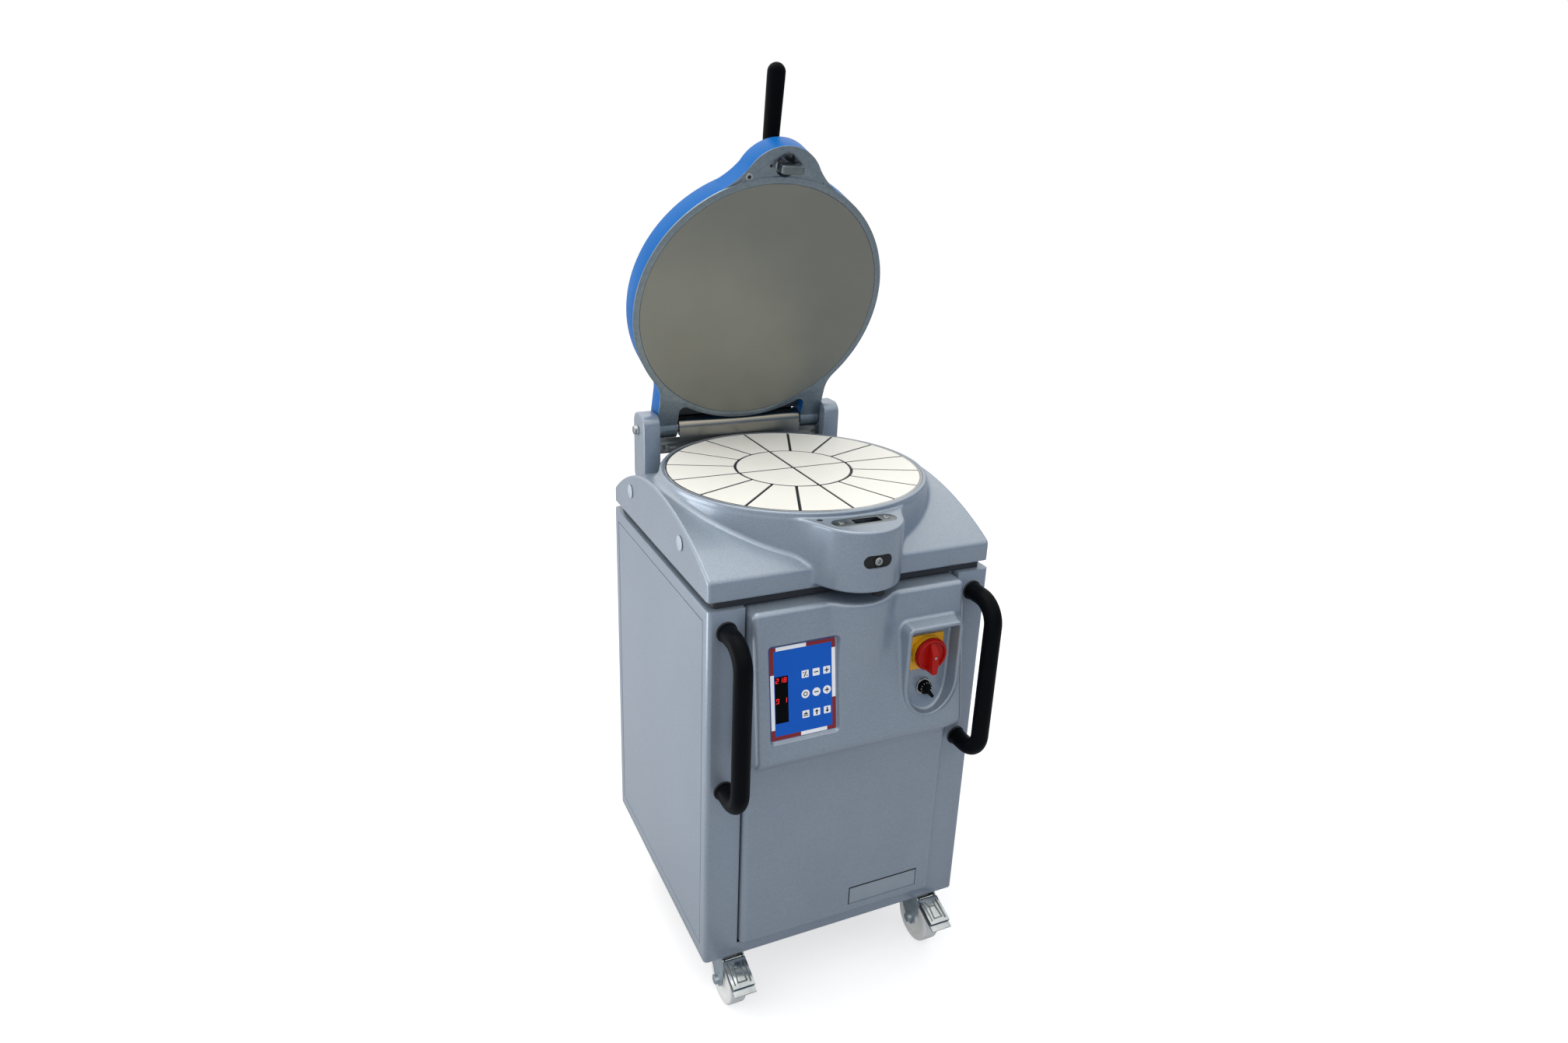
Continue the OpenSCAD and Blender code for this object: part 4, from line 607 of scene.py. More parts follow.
def closed_mesh(name, bm):
    bmesh.ops.recalc_face_normals(bm, faces=bm.faces)
    mesh = bpy.data.meshes.new(name)
    bm.to_mesh(mesh)
    bm.free()
    return mesh


def cutter_mesh(outline, place, low, high):
    bm = bmesh.new()
    prism(bm, outline, place, low, high)
    return closed_mesh("cutter", bm)


def finished(bm, name, finish, body, stands_for=(), angle=35):
    """Makes a drawn solid a piece with smooth shading."""
    return new_piece(name, smooth(closed_mesh(name, bm), angle), finish, body, stands_for)


def from_above(x, y, frame_of=TO_ROW):
    """Depth runs upwards; on the lid, as when it is closed."""
    return frame_of @ plane_at((x, y, 0), (1, 0, 0), (0, 1, 0))


def from_front(x, z, y=0):
    """Depth runs towards the operator."""
    return TO_ROW @ plane_at((x, y, z), (1, 0, 0), (0, 0, 1))


FLAT_SHEETS = ("rear_panel", "left_side_panel", "right_side_panel", "lid_plate",
               "outer_segments", "inner_segments")
WELD = 2e-6
FLAT_ANGLE, EDGE_ANGLE, SHADE_ANGLE = 0.4, 30, 40


def softened(node, width, finish, body="machine", segments=2):
    """A solid of the frame with its hard edges rounded to `width` mm."""
    bm = bmesh.new()
    bm.from_mesh(nodes[node].data)
    bmesh.ops.remove_doubles(bm, verts=bm.verts, dist=WELD)
    bmesh.ops.dissolve_limit(bm, angle_limit=math.radians(FLAT_ANGLE), verts=bm.verts,
                             edges=bm.edges)
    mesh = bpy.data.meshes.new("edges")
    bm.to_mesh(mesh)
    bm.free()
    piece = linked("edges", mesh)
    step = piece.modifiers.new("edge", "BEVEL")
    step.width, step.segments = width * MM, segments
    step.limit_method, step.angle_limit = "ANGLE", math.radians(EDGE_ANGLE)
    rounded = baked(piece)
    bpy.data.objects.remove(piece)
    rounded.name = node + "_finished"
    if node in FLAT_SHEETS:
        evened(rounded)
    else:
        smooth(rounded, SHADE_ANGLE)
    return new_piece(node + "_finished", rounded, finish, body, (node,))


# ---------------------------------------------------------------- moulded cover and front panel


COVER_X, COVER_FRONT, COVER_BACK, COVER_FOOT = 270, -262, 267, 843
VAULT_Y, VAULT_FRONT, VAULT_BACK = 20, (371, 580), (536, 415)  # crest; heights of axes and radii
TUB_R, TUB_TAPER = 249, 6 / 70
NOSE_Y, NOSE_R, NOSE_FOOT, NOSE_TOP = -252, 78, 850, 957


def cover_form(x, y, z):
    """Barrel vault with a lip, the round tub that stands in it, and the front nose. The fillet at
    the foot of the tub is tight in front and softer where the tub is low."""
    (front_z, front_r), (back_z, back_r) = VAULT_FRONT, VAULT_BACK
    vault = np.where(y < VAULT_Y, np.hypot(y - VAULT_Y, z - front_z) - front_r,
                     np.hypot(y - VAULT_Y, z - back_z) - back_r)
    sides = meet(np.abs(x) - COVER_X, y - COVER_BACK, 7)
    shell = meet(meet(sides, COVER_FRONT - y, 7), vault, 5)
    off = np.clip(y, COVER_FRONT, COVER_BACK) - VAULT_Y
    crest = np.where(off < 0, front_z + np.sqrt(front_r ** 2 - off ** 2),
                     back_z + np.sqrt(back_r ** 2 - off ** 2))
    foot = 6.5 + 9 * np.clip((crest - 912) / 38, 0, 1)
    out = np.hypot(x, y) - TUB_R - (TABLE_TOP - z) * TUB_TAPER
    wall = out / math.hypot(1, TUB_TAPER)
    tub = meet(join(wall, shell, foot), z - TABLE_TOP, 3.5)
    nose = meet(join(np.hypot(x, y - NOSE_Y) - NOSE_R, wall, 42), NOSE_FOOT - z, 4)
    nose = meet(join(nose, shell, 6.5), z - NOSE_TOP, 4.5)
    body = join(tub, nose, 3)
    return meet(meet(body, sides, 5), COVER_FOOT - z, 1.5)


BORE_R = 241.4
WINDOW_Z = 905
PIN_AT = (-70, -250)


def make_top_cover():
    """The cover with its bore, latch slot and pit, front window, pin hole and tower cut-outs."""
    points, quads = skin(cover_form, (-COVER_X, -331, COVER_FOOT),
                         (COVER_X, COVER_BACK, TABLE_TOP), 3.0)
    mesh = flat_backed(to_mesh("top_cover_moulding", points, quads), (0, 0, -1))
    cutters = [cutter_mesh(circle(2 * BORE_R, 160), from_above(0, 0), 820, 990),
               cutter_mesh(obround(118.6, 34.6), from_above(0, LATCH_Y), 954, 990),
               cutter_mesh(rect(112, 44, 5), from_above(0, LATCH_Y), 880, 955),
               cutter_mesh(obround(52, 23), from_front(0, WINDOW_Z), 322, 360),
               cutter_mesh(circle(11, 24), from_above(*PIN_AT), 945, 990)]
    cutters += [cutter_mesh(rect(35, 37.2), from_above(x, 248.6), 820, 990) for x in (-200, 200)]
    mesh = field_shaded(cut(mesh, cutters), cover_form)
    new_piece("top_cover_moulding", mesh, silver_paint, "machine", ("top_cover",))


make_top_cover()


def console_outline():
    """Side outline of the console: sloping face, round ridge and the fall below it, with the top
    carried on upwards so that the top edge can be rounded later."""
    lean, ridge, r = FACE_LEAN, (-303.0, 570.0), 26.0
    fold = (-269.0, 490.0, 10.0)
    run = math.hypot(fold[0] - ridge[0], fold[1] - ridge[1])
    down = math.atan2(fold[1] - ridge[1], fold[0] - ridge[0]) - math.asin((r - fold[2]) / run)
    out = [(-240.0, 900.0), (face_y(900.0), 900.0)]
    start, stop = math.pi - lean, math.pi * 1.5 + (down + math.pi / 2)
    for i in range(17):
        a = start + (stop - start) * i / 16
        out.append((ridge[0] + r * math.cos(a), ridge[1] + r * math.sin(a)))
    out.append((fold[0] + fold[2] * math.cos(stop), fold[1] + fold[2] * math.sin(stop)))
    return out + [(-240.0, 470.0)]


CONSOLE = console_outline()
PANEL_X, PANEL_FOOT, PANEL_TOP, PANEL_BACK = 203, 144, 826, -245
LOWER_FRONT, LOWER_TOP = -279, 510
HOOD_HALF, HOOD_FRONT, HOOD_DRAFT, RIM = 62, -328, 0.24, 14
POCKET_FLOOR = -299
KEYS_AT, KEYS_RISE, KEYS_DEPTH, KEYS_SLANT = (-115, 674), 9.5, 6, 0.55


def hood_outline(x, z, inset):
    """Hood seen from the front: straight sides, rounded upper corners and a drawn-in round foot."""
    u = x - HOOD_X
    half, drop, steps = HOOD_HALF - inset, 72 - 0.75 * inset, 28
    upper = flat_rect(u, z - 716, 2 * half, 112 - 2 * inset, max(18 - inset, 5))
    curve = [(half * math.cos(math.pi * k / steps), 655 - drop * math.sin(math.pi * k / steps))
             for k in range(steps + 1)]
    foot = flat_polygon(u, z, [(half, 690), *curve, (-half, 690)])
    return np.minimum(upper, foot)


def panel_form(x, y, z):
    """Sloping console over the plain lower panel, with the upright bulge under the nose, the
    switch hood with its pocket, and the keypad's recess."""
    body = join(flat_polygon(y, z, CONSOLE), np.maximum(LOWER_FRONT - y, z - LOWER_TOP), 16)
    bulge = np.hypot(x, y + 230) - 88
    body = join(body, np.maximum(bulge, 560 - z), 6)
    body = meet(body, z - PANEL_TOP, 9)
    flanks = hood_outline(x, z, 0) + HOOD_DRAFT * np.clip(-300 - y, 0, 30)
    hood = meet(flanks / math.hypot(1, HOOD_DRAFT), HOOD_FRONT - y, 3.5)
    body = join(body, hood, 5)
    dish = np.clip((652 - z) / 62, 0, 1) ** 2 * 17
    pocket = meet(hood_outline(x, z, RIM), y - POCKET_FLOOR + dish, 5)
    body = meet(body, -pocket, 3.6)
    along = (z - KEYS_AT[1]) / math.cos(FACE_LEAN) - KEYS_RISE
    deep = (y - face_y(z)) * math.cos(FACE_LEAN)
    walls = flat_rect(x - KEYS_AT[0] - 0.9, along + 1.15, 123.8, 167.3, 5)
    walls = walls - KEYS_SLANT * np.clip(KEYS_DEPTH - deep, 0, 8)
    keys = meet(walls / math.hypot(1, KEYS_SLANT), deep - KEYS_DEPTH, 1.2)
    body = meet(body, -keys, 2.0)
    body = meet(meet(body, np.abs(x) - PANEL_X, 11), PANEL_FOOT - z, 8)
    return np.maximum(body, y - PANEL_BACK)


def make_front_panel():
    """The panel with the bare plate's recess and the holes of both switches."""
    points, quads = skin(panel_form, (-PANEL_X, -330, PANEL_FOOT),
                         (PANEL_X, PANEL_BACK, PANEL_TOP), 2.6)
    mesh = flat_backed(to_mesh("front_panel_moulding", points, quads), (0, 1, 0))
    cutters = [cutter_mesh(rect(151, 41, 1.6), from_front(*PLATE_AT), 276, 300),
               cutter_mesh(circle(12.6, 24), from_front(HOOD_X, SWITCH_Z), 200, 330),
               cutter_mesh(circle(23, 32), from_front(HOOD_X, SELECTOR_Z), 200, 330)]
    mesh = field_shaded(cut(mesh, cutters), panel_form)
    new_piece("front_panel_moulding", mesh, silver_paint, "machine",
              ("front_panel",))


make_front_panel()

# ---------------------------------------------------------------- frame nodes with rounded edges

SIDES = ("left", "right")
CASTORS = ("front_left", "front_right", "rear_left", "rear_right")
# body, slot, finish, segments of the rounded edges, and each solid with its edge width
ROUNDED = (
    ("machine", "silver_paint", sheet_paint, 2, {"cabinet_shell": 1.2, "left_side_panel": 1.2,
                                                 "right_side_panel": 1.2, "rear_panel": 0.6}),
    ("machine", "silver_paint", silver_paint, 2, {"left_hinge_tower": 3.0,
                                                  "right_hinge_tower": 3.0, "hinge_bridge": 1.5}),
    ("machine", "silver_paint", plug_plastic, 2, {"side_plugs": 0.6}),
    ("machine", "stainless", bright_steel, 2, {"tank_ring": 0.6, "selector_bezel": 0.8}),
    ("machine", "stainless", machined_steel, 2, {"hinge_shaft": 0.5}),
    ("machine", "zinc", machined_steel, 2, {"hinge_bolts": 1.2}),
    ("machine", "stainless", rolled_steel, 2, {"hinge_guard": 0.3}),
    ("machine", "stainless", milled_steel, 2, {"striker_plate": 0.5}),
    ("machine", "zinc", zinc_plate, 2, {"castor_plates": 0.8}),
    ("machine", "yellow_plastic", yellow_mould, 2, {"switch_plate": 1.0}),
    ("lid", "blue_paint", lid_finish, 3, {"lid_casting": 2.4}),
    ("lid", "stainless", brushed_plate_painted_reflection, 3, {"lid_plate": 0.7}),
    ("lid", "stainless", milled_steel, 3, {"latch_block": 0.9}),
    ("lid", "bronze", bearing_bronze, 3, {"hinge_bushes": 0.3}),
    ("platen", "white_plastic", white_board, 2, {"outer_segments": 0.9, "inner_segments": 0.9}),
    ("lock_slide", "zinc", zinc_plate, 2, {"lock_slide": 0.4}),
    ("selector_knob", "black_plastic", black_nylon, 2, {"selector_knob": 0.8}),
    *((end + "_castor", "zinc", fork_zinc, 2, {end + "_fork": 0.8}) for end in CASTORS),
    *((end + "_wheel", "nylon", cream_nylon, 3, {end + "_wheel": 1.5}) for end in CASTORS),
    *((side + "_brake", "zinc", pressed_zinc_painted_reflections, 2, {side + "_pedal": 0.8}) for side in SIDES))
for body, slot, finish, segments, solids in ROUNDED:
    for name, width in solids.items():
        softened(name, width, finish, body, segments)

KNIFE_TOPS, KNIFE_RAISE = 960.5 * MM, 1.6 * MM  # raised so that the slots show their blades
# The blades' dark steel is painted shade that darkens the slots.
for name in ("knife_blades", "knife_ring"):
    for v in softened(name, 0.3, knife_steel_painted_slot_shade, "knives", 1).data.vertices:
        if v.co.z > KNIFE_TOPS:
            v.co.z += KNIFE_RAISE

INSIDE = ((dark_primer, ("base_frame", "main_frame", "spring_sleeve", "control_box",
                         "press_cylinder", "knife_cylinders", "oil_tank", "pump_motor",
                         "press_plate", "knife_carrier")),
          (machined_steel, ("lock_unit", "hydraulic_pump", "valve_block", "segment_posts",
                            "press_ram", "knife_rods")))
for finish, names in INSIDE:
    for name in names:
        nodes[name].data.materials.clear()
        nodes[name].data.materials.append(finish)

# ---------------------------------------------------------------- repeated and drawn pieces


def node_tree(name, inputs):
    """A geometry tree with a geometry input and output and named inputs for its sizes."""
    tree = bpy.data.node_groups.new(name, "GeometryNodeTree")
    tree.interface.new_socket("Geometry", in_out="INPUT", socket_type="NodeSocketGeometry")
    for label, kind, value in inputs:
        made = tree.interface.new_socket(label, in_out="INPUT", socket_type="NodeSocket" + kind)
        if value is not None:
            made.default_value = value
    tree.interface.new_socket("Geometry", in_out="OUTPUT", socket_type="NodeSocketGeometry")
    return tree, add(tree, "NodeGroupInput").outputs


def close_tree(tree, geometry, finish):
    """Realized instances with their material are the tree's result."""
    real = add(tree, "GeometryNodeRealizeInstances", {"Geometry": geometry})
    dressed = add(tree, "GeometryNodeSetMaterial", {"Geometry": real,
                                                    "Material": finish})
    add(tree, "NodeGroupOutput", {"Geometry": dressed})


def grown(name, base, tree, values, body, stands_for=(), angle=35):
    """Runs a geometry tree on a base mesh and keeps the result as a plain piece."""
    holder = linked(name, base)
    step = holder.modifiers.new("tree", "NODES")
    step.node_group = tree
    for item in tree.interface.items_tree:
        if item.in_out == "INPUT" and item.name in values:
            step[item.identifier] = values[item.name]
    mesh = baked(holder)
    bpy.data.objects.remove(holder)
    mesh.name = name
    return new_piece(name, smooth(mesh, angle), None, body, stands_for)


def tube_tree():
    """Tube along a bent path."""
    tree, given = node_tree("push_handle_tube", (
        ("Radius", "Float", 0.016), ("Bend", "Float", 0.042), ("Finish", "Material", None)))
    path = add(tree, "GeometryNodeMeshToCurve", {"Mesh": given["Geometry"]})
    bent = add(tree, "GeometryNodeFilletCurve", {"Curve": path, "Count": 14,
                                                 "Radius": given["Bend"]}, mode="POLY")
    ring = add(tree, "GeometryNodeCurvePrimitiveCircle", {"Resolution": 40,
                                                          "Radius": given["Radius"]})
    tube = add(tree, "GeometryNodeCurveToMesh", {"Curve": bent, "Profile Curve": ring,
                                                 "Fill Caps": True})
    close_tree(tree, tube, given["Finish"])
    return tree


HANDLE_X, HANDLE_FRONT, HANDLE_ROOT, HANDLE_LOW, HANDLE_HIGH = 238, -339, -267, 487, 791
handle_tube = tube_tree()
for side, x in (("left", -HANDLE_X), ("right", HANDLE_X)):
    route = [(x, HANDLE_ROOT, HANDLE_LOW), (x, HANDLE_FRONT, HANDLE_LOW),
             (x, HANDLE_FRONT, HANDLE_HIGH), (x, HANDLE_ROOT, HANDLE_HIGH)]
    path = bpy.data.meshes.new("path")
    path.from_pydata([tuple(TO_ROW @ Vector(q)) for q in route], [(0, 1), (1, 2), (2, 3)], [])
    grown(side + "_push_handle", path, handle_tube,
          {"Radius": 16 * MM, "Bend": 42 * MM, "Finish": black_coating},
          "machine", (side + "_handle",), 50)
    bm = bmesh.new()
    for z in (HANDLE_LOW, HANDLE_HIGH):
        turned(bm, [(15.9, 266.6), (18.5, 266.6), (18.5, 268.2), (17.2, 269.4), (15.9, 269.4)],
               from_front(x, z), 40)
    finished(bm, side + "_handle_seals", black_seal, "machine")


def screw_head():
    """Socket screw head of unit diameter, seen along Z."""
    bm = bmesh.new()
    n, half_side = 24, math.pi / 6
    rings = []
    for size, height, six in ((0.5, 0, False), (0.5, 0.26, False), (0.45, 0.32, False),
                              (0.27, 0.32, True), (0.27, 0.12, True)):
        ring = []
        for i in range(n):
            a = 2 * math.pi * i / n
            r = size
            if six:
                r = size * math.cos(half_side) / math.cos(a % (2 * half_side) - half_side)
            ring.append(bm.verts.new((r * math.cos(a), r * math.sin(a), height)))
        rings.append(ring)
    loft(bm, rings)
    return linked("screw_head", closed_mesh("screw_head", bm))


def screw_tree():
    """A screw head at each point, facing as the point says and as wide as it says."""
    tree, given = node_tree("socket_screws", (("Head", "Object", None), ("Share", "Float", 1.0),
                                              ("Finish", "Material", None)))
    facing = add(tree, "GeometryNodeInputNamedAttribute", {"Name": "facing"},
                 data_type="FLOAT_VECTOR")
    wide = add(tree, "GeometryNodeInputNamedAttribute", {"Name": "wide"}, data_type="FLOAT")
    size = add(tree, "ShaderNodeMath", {0: wide, 1: given["Share"]},
               operation="MULTIPLY")
    turn = add(tree, "FunctionNodeAlignRotationToVector", {"Vector": facing}, axis="Z")
    shape = add(tree, "GeometryNodeObjectInfo", {"Object": given["Head"]})
    put = add(tree, "GeometryNodeInstanceOnPoints", {
        "Points": given["Geometry"], "Instance": shape.outputs["Geometry"],
        "Rotation": turn, "Scale": size})
    close_tree(tree, put, given["Finish"])
    return tree


head = screw_head()
screws = screw_tree()


def screw_points(rows):
    """Points with the screws' facing and width: (place in the row, direction, mm)."""
    mesh = bpy.data.meshes.new("screw_points")
    mesh.from_pydata([tuple(place) for place, _, _ in rows], [], [])
    mesh.attributes.new("facing", "FLOAT_VECTOR", "POINT")
    mesh.attributes.new("wide", "FLOAT", "POINT")
    for i, (_, direction, size) in enumerate(rows):
        mesh.attributes["facing"].data[i].vector = direction
        mesh.attributes["wide"].data[i].value = size * MM
    return mesh


front, above = (0, -1, 0), (0, 0, 1)
lid_down = (ON_LID.to_3x3() @ Vector((0, 0, -1))).normalized()
on_cover = [(TO_ROW @ Vector((x, y, z)), way, wide) for x, y, z, way, wide in (
    (0, -326.0, WINDOW_Z, front, 14), (-42, LATCH_Y, 955.0, above, 8.6),
    (42, LATCH_Y, 955.0, above, 8.6), (-162.5, 255.6, 947, front, 10.5),
    (162.5, 255.6, 947, front, 10.5), (-60, 255.6, 941, front, 5), (60, 255.6, 941, front, 5))]
in_pocket = [(ON_LID @ Vector((x, y, 985)), lid_down, 9.5) for x, y in ((-12, -282), (11, -286))]
as_steel = {"Head": head, "Share": 1.0, "Finish": machined_steel}
grown("cover_screw_heads", screw_points(on_cover), screws, as_steel, "machine",
      ("cover_screws",))
grown("lid_pocket_screws", screw_points(in_pocket), screws, as_steel, "lid")


def louvre_tree():
    """Rows of pressed louvres, each a tapered hood over its slot."""
    tree, given = node_tree("rear_louvres", (("Hood", "Object", None),
                                             ("Finish", "Material", None)))
    shape = add(tree, "GeometryNodeObjectInfo", {"Object": given["Hood"]})
    put = add(tree, "GeometryNodeInstanceOnPoints", {"Points": given["Geometry"],
                                                     "Instance": shape.outputs["Geometry"]})
    close_tree(tree, put, given["Finish"])
    return tree


LOUVRE_X, LOUVRE_Y, LOUVRE_LOW, LOUVRE_PITCH = 90, 267.9, 237, 16


def make_louvres():
    """Quarter-round hoods with tapered ends, in two columns of nine."""
    bm = bmesh.new()
    half, rise, out = 47 * MM, 5 * MM, 4 * MM
    rows = []
    for k in range(7):
        a = math.pi / 2 * k / 6
        high = rise - 2 * rise * (1 - math.cos(a)) * 0.9
        rows.append([bm.verts.new((x, y, high)) for x, y in (
            (-half, 0), (-half * 0.93, out * math.sin(a)), (half * 0.93, out * math.sin(a)),
            (half, 0))])
    for a, b in zip(rows, rows[1:]):
        for i in range(3):
            bm.faces.new((a[i], b[i], b[i + 1], a[i + 1]))
    bmesh.ops.solidify(bm, geom=bm.faces, thickness=0.8 * MM)
    hood = linked("louvre", closed_mesh("louvre", bm))
    points = bpy.data.meshes.new("louvre_points")
    points.from_pydata([tuple(TO_ROW @ Vector((x, LOUVRE_Y, LOUVRE_LOW + LOUVRE_PITCH * i)))
                        for x in (-LOUVRE_X, LOUVRE_X) for i in range(9)], [], [])
    grown("rear_louvres", points, louvre_tree(), {"Hood": hood, "Finish": sheet_paint}, "machine")
    bpy.data.objects.remove(hood)


make_louvres()


def tick_tree():
    """Dial marks on an arc, each turned to the dial's middle."""
    tree, given = node_tree("dial_marks", (
        ("Count", "Int", 11), ("Start", "Float", 0.0), ("Sweep", "Float", 4.2),
        ("Radius", "Float", 0.0105), ("Length", "Float", 0.0022), ("Finish", "Material", None)))
    line = add(tree, "GeometryNodeMeshLine", {"Count": given["Count"]})
    number = add(tree, "GeometryNodeInputIndex")
    last = add(tree, "ShaderNodeMath", {0: given["Count"], 1: 1.0}, operation="SUBTRACT")
    share = add(tree, "ShaderNodeMath", {0: number, 1: last},
                operation="DIVIDE")
    angle = add(tree, "ShaderNodeMath", {0: share, 1: given["Sweep"],
                                         2: given["Start"]}, operation="MULTIPLY_ADD")
    cosine = add(tree, "ShaderNodeMath", {0: angle}, operation="COSINE")
    sine = add(tree, "ShaderNodeMath", {0: angle}, operation="SINE")
    across = add(tree, "ShaderNodeMath", {0: cosine, 1: given["Radius"]},
                 operation="MULTIPLY")
    upward = add(tree, "ShaderNodeMath", {0: sine, 1: given["Radius"]},
                 operation="MULTIPLY")
    spot = add(tree, "ShaderNodeCombineXYZ", {0: across, 2: upward})
    placed = add(tree, "GeometryNodeSetPosition", {"Geometry": line,
                                                   "Position": spot})
    size = add(tree, "ShaderNodeCombineXYZ", {0: given["Length"], 1: 0.0002, 2: 0.0006})
    mark = add(tree, "GeometryNodeMeshCube", {"Size": size})
    back = add(tree, "ShaderNodeMath", {0: angle, 1: -1.0}, operation="MULTIPLY")
    turn = add(tree, "ShaderNodeCombineXYZ", {1: back})
    put = add(tree, "GeometryNodeInstanceOnPoints", {
        "Points": placed, "Instance": mark, "Rotation": turn})
    close_tree(tree, put, given["Finish"])
    return tree


def make_selector_marks():
    """White marks round the selector's knob."""
    empty = bpy.data.meshes.new("dial_base")
    empty.from_pydata([(0, 0, 0)], [], [])
    piece = grown("selector_dial_marks", empty, tick_tree(),
                  {"Count": 9, "Start": -0.5, "Sweep": 4.1, "Radius": 0.0106, "Length": 0.0019,
                   "Finish": white_print}, "selector_knob")
    spot = Matrix.Translation((HOOD_X, -311.45, SELECTOR_Z))
    piece.data.transform(TO_ROW @ spot @ Matrix.Scale(1 / MM, 4))


make_selector_marks()
bpy.data.objects.remove(head)


# ---------------------------------------------------------------- keypad


FILM_W, FILM_H, BORDER = 120.0, 163.0, 6.6
WHITE, RED, BLACK, LIT = range(4)
# Strokes of the keys' plain signs: width, height, shift across and up, turn in degrees.
SIGNS = {"plus": [(8, 1.8, 0, 0, 0), (1.8, 8, 0, 0, 0)],
         "minus": [(8, 1.8, 0, 0, 0)],
         "ring": [(1.4, 2.1, 3.2 * math.cos(2 * math.pi * k / 12),
                   3.2 * math.sin(2 * math.pi * k / 12), 30 * k) for k in range(12)],
         "slash": [(1.6, 10, 0, 0, -24), (3.2, 1.3, -3.2, 2.8, 0), (3.2, 1.3, 3.2, -2.8, 0)],
         "up": [(2.2, 5.4, 0, -1.8, 0)],
         "down": [(2.2, 5.4, 0, 1.8, 0)],
         "press": [(9, 1.5, 0, -2.6, 0), (7, 2.2, 0, 0.6, 0), (1.5, 2.6, 0, 3, 0)]}
ARROWS = {"up": [(-3.6, 0.6), (3.6, 0.6), (0, 4.6)],
          "down": [(0, -4.6), (3.6, -0.6), (-3.6, -0.6)]}
# Bars of a seven-segment figure, in halves of its height and in its width.
BARS = {"a": (0, 2, 1, 2), "b": (1, 1, 1, 2), "c": (1, 0, 1, 1), "d": (0, 0, 1, 0),
        "e": (0, 0, 0, 1), "f": (0, 1, 0, 2), "g": (0, 1, 1, 1)}


def keypad_face():
    """Place on the front of the keypad's solid, in the film's middle."""
    tangent = Vector((0, math.sin(FACE_LEAN), math.cos(FACE_LEAN)))
    out = Vector((0, -math.cos(FACE_LEAN), math.sin(FACE_LEAN)))
    low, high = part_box("keypad_panel")
    middle = (low + high) / 2 / MM - Vector((0, TABLE_Y, 0))
    reach = max((v.co / MM - Vector((0, TABLE_Y, 0)) - middle).dot(out)
                for v in nodes["keypad_panel"].data.vertices)
    return TO_ROW @ plane_at(middle + out * reach, (1, 0, 0), tangent)


def make_keypad():
    """Film, border bars, display window with lit figures, and nine keys with plain signs."""
    face = keypad_face()
    left, right, top, foot = -FILM_W / 2, FILM_W / 2, FILM_H / 2, -FILM_H / 2

    def at(u, v):
        return face @ Matrix.Translation((u, v + KEYS_RISE, 0))

    bm = bmesh.new()
    prism(bm, rect(FILM_W + 0.6, FILM_H + 0.6, 3), at(0, 0), -1.4, 0)
    new_piece("keypad_film", closed_mesh("keypad_film", bm), blue_film, "machine",
              ("keypad_panel",))
    bm = bmesh.new()

    def bar(u0, v0, u1, v1, kind, high=0.16):
        middle = at((u0 + u1) / 2, (v0 + v1) / 2)
        prism(bm, rect(abs(u1 - u0), abs(v1 - v0)), middle, -0.05, high, kind)

    def border(marks, u, v, du, dv, wide, tall):
        """One side of the border: red, white and red, parted at two marks."""
        for a, b, kind in zip((0, *marks), (*marks, 1), (RED, WHITE, RED)):
            bar(u + a * du, v + a * dv, u + b * du + wide, v + b * dv + tall, kind)

    def figure(u, v, segments, tall=7.6):
        wide, t, lean = tall * 0.5, tall * 0.13, tall * 0.06
        for name in segments:
            u0, v0, u1, v1 = (q * size for q, size in zip(BARS[name], (wide, tall / 2) * 2))
            mid = u + lean * ((v0 + v1) / 2 / tall * 2 - 1)
            bar(mid + u0 - t / 2, v + v0 - t / 2, mid + u1 + t / 2, v + v1 + t / 2, LIT, 0.26)

    def key(u, v, round_key, sign):
        outline = circle(15, 32) if round_key else rect(13, 13, 1.2)
        prism(bm, outline, at(u, v), -0.05, 0.22, WHITE)
        for wide, tall, du, dv, turn in SIGNS[sign]:
            place = at(u + du, v + dv) @ Matrix.Rotation(math.radians(turn), 4, "Z")
            prism(bm, rect(wide, tall), place, 0.1, 0.34, BLACK)
        if sign in ARROWS:
            prism(bm, ARROWS[sign], at(u, v), 0.1, 0.34, BLACK)

    inner = FILM_H - 2 * BORDER
    border((0.09, 0.55), left, top, FILM_W, 0, 0, -BORDER)
    border((0.45, 0.86), left, foot, FILM_W, 0, 0, BORDER)
    border((0.27, 0.92), left, top - BORDER, 0, -inner, BORDER, 0)
    border((0.07, 0.66), right - BORDER, top - BORDER, 0, -inner, BORDER, 0)
    bar(left + 0.066 * FILM_W, top - 0.315 * FILM_H, left + 0.265 * FILM_W, top - 0.82 * FILM_H,
        BLACK)
    for down, figures in ((0.38, ("abged", "bc", "abcdefg")), (0.60, ("abcdf", "", "bc"))):
        for k, segments in enumerate(figures):
            figure(left + 10.4 + 7.2 * k, top - down * FILM_H, segments)
    for down, round_key, signs in ((0.337, False, ("slash", "minus", "plus")),
                                   (0.555, True, ("ring", "minus", "plus")),
                                   (0.776, False, ("press", "up", "down"))):
        for across, sign in zip((0.53, 0.70, 0.865), signs):
            key(left + across * FILM_W, top - down * FILM_H, round_key, sign)
    mesh = closed_mesh("keypad_print", bm)
    for finish in (white_print, red_print, black_print, lit_red):
        mesh.materials.append(finish)
    new_piece("keypad_print", mesh, None, "machine")


make_keypad()

# ---------------------------------------------------------------- switches


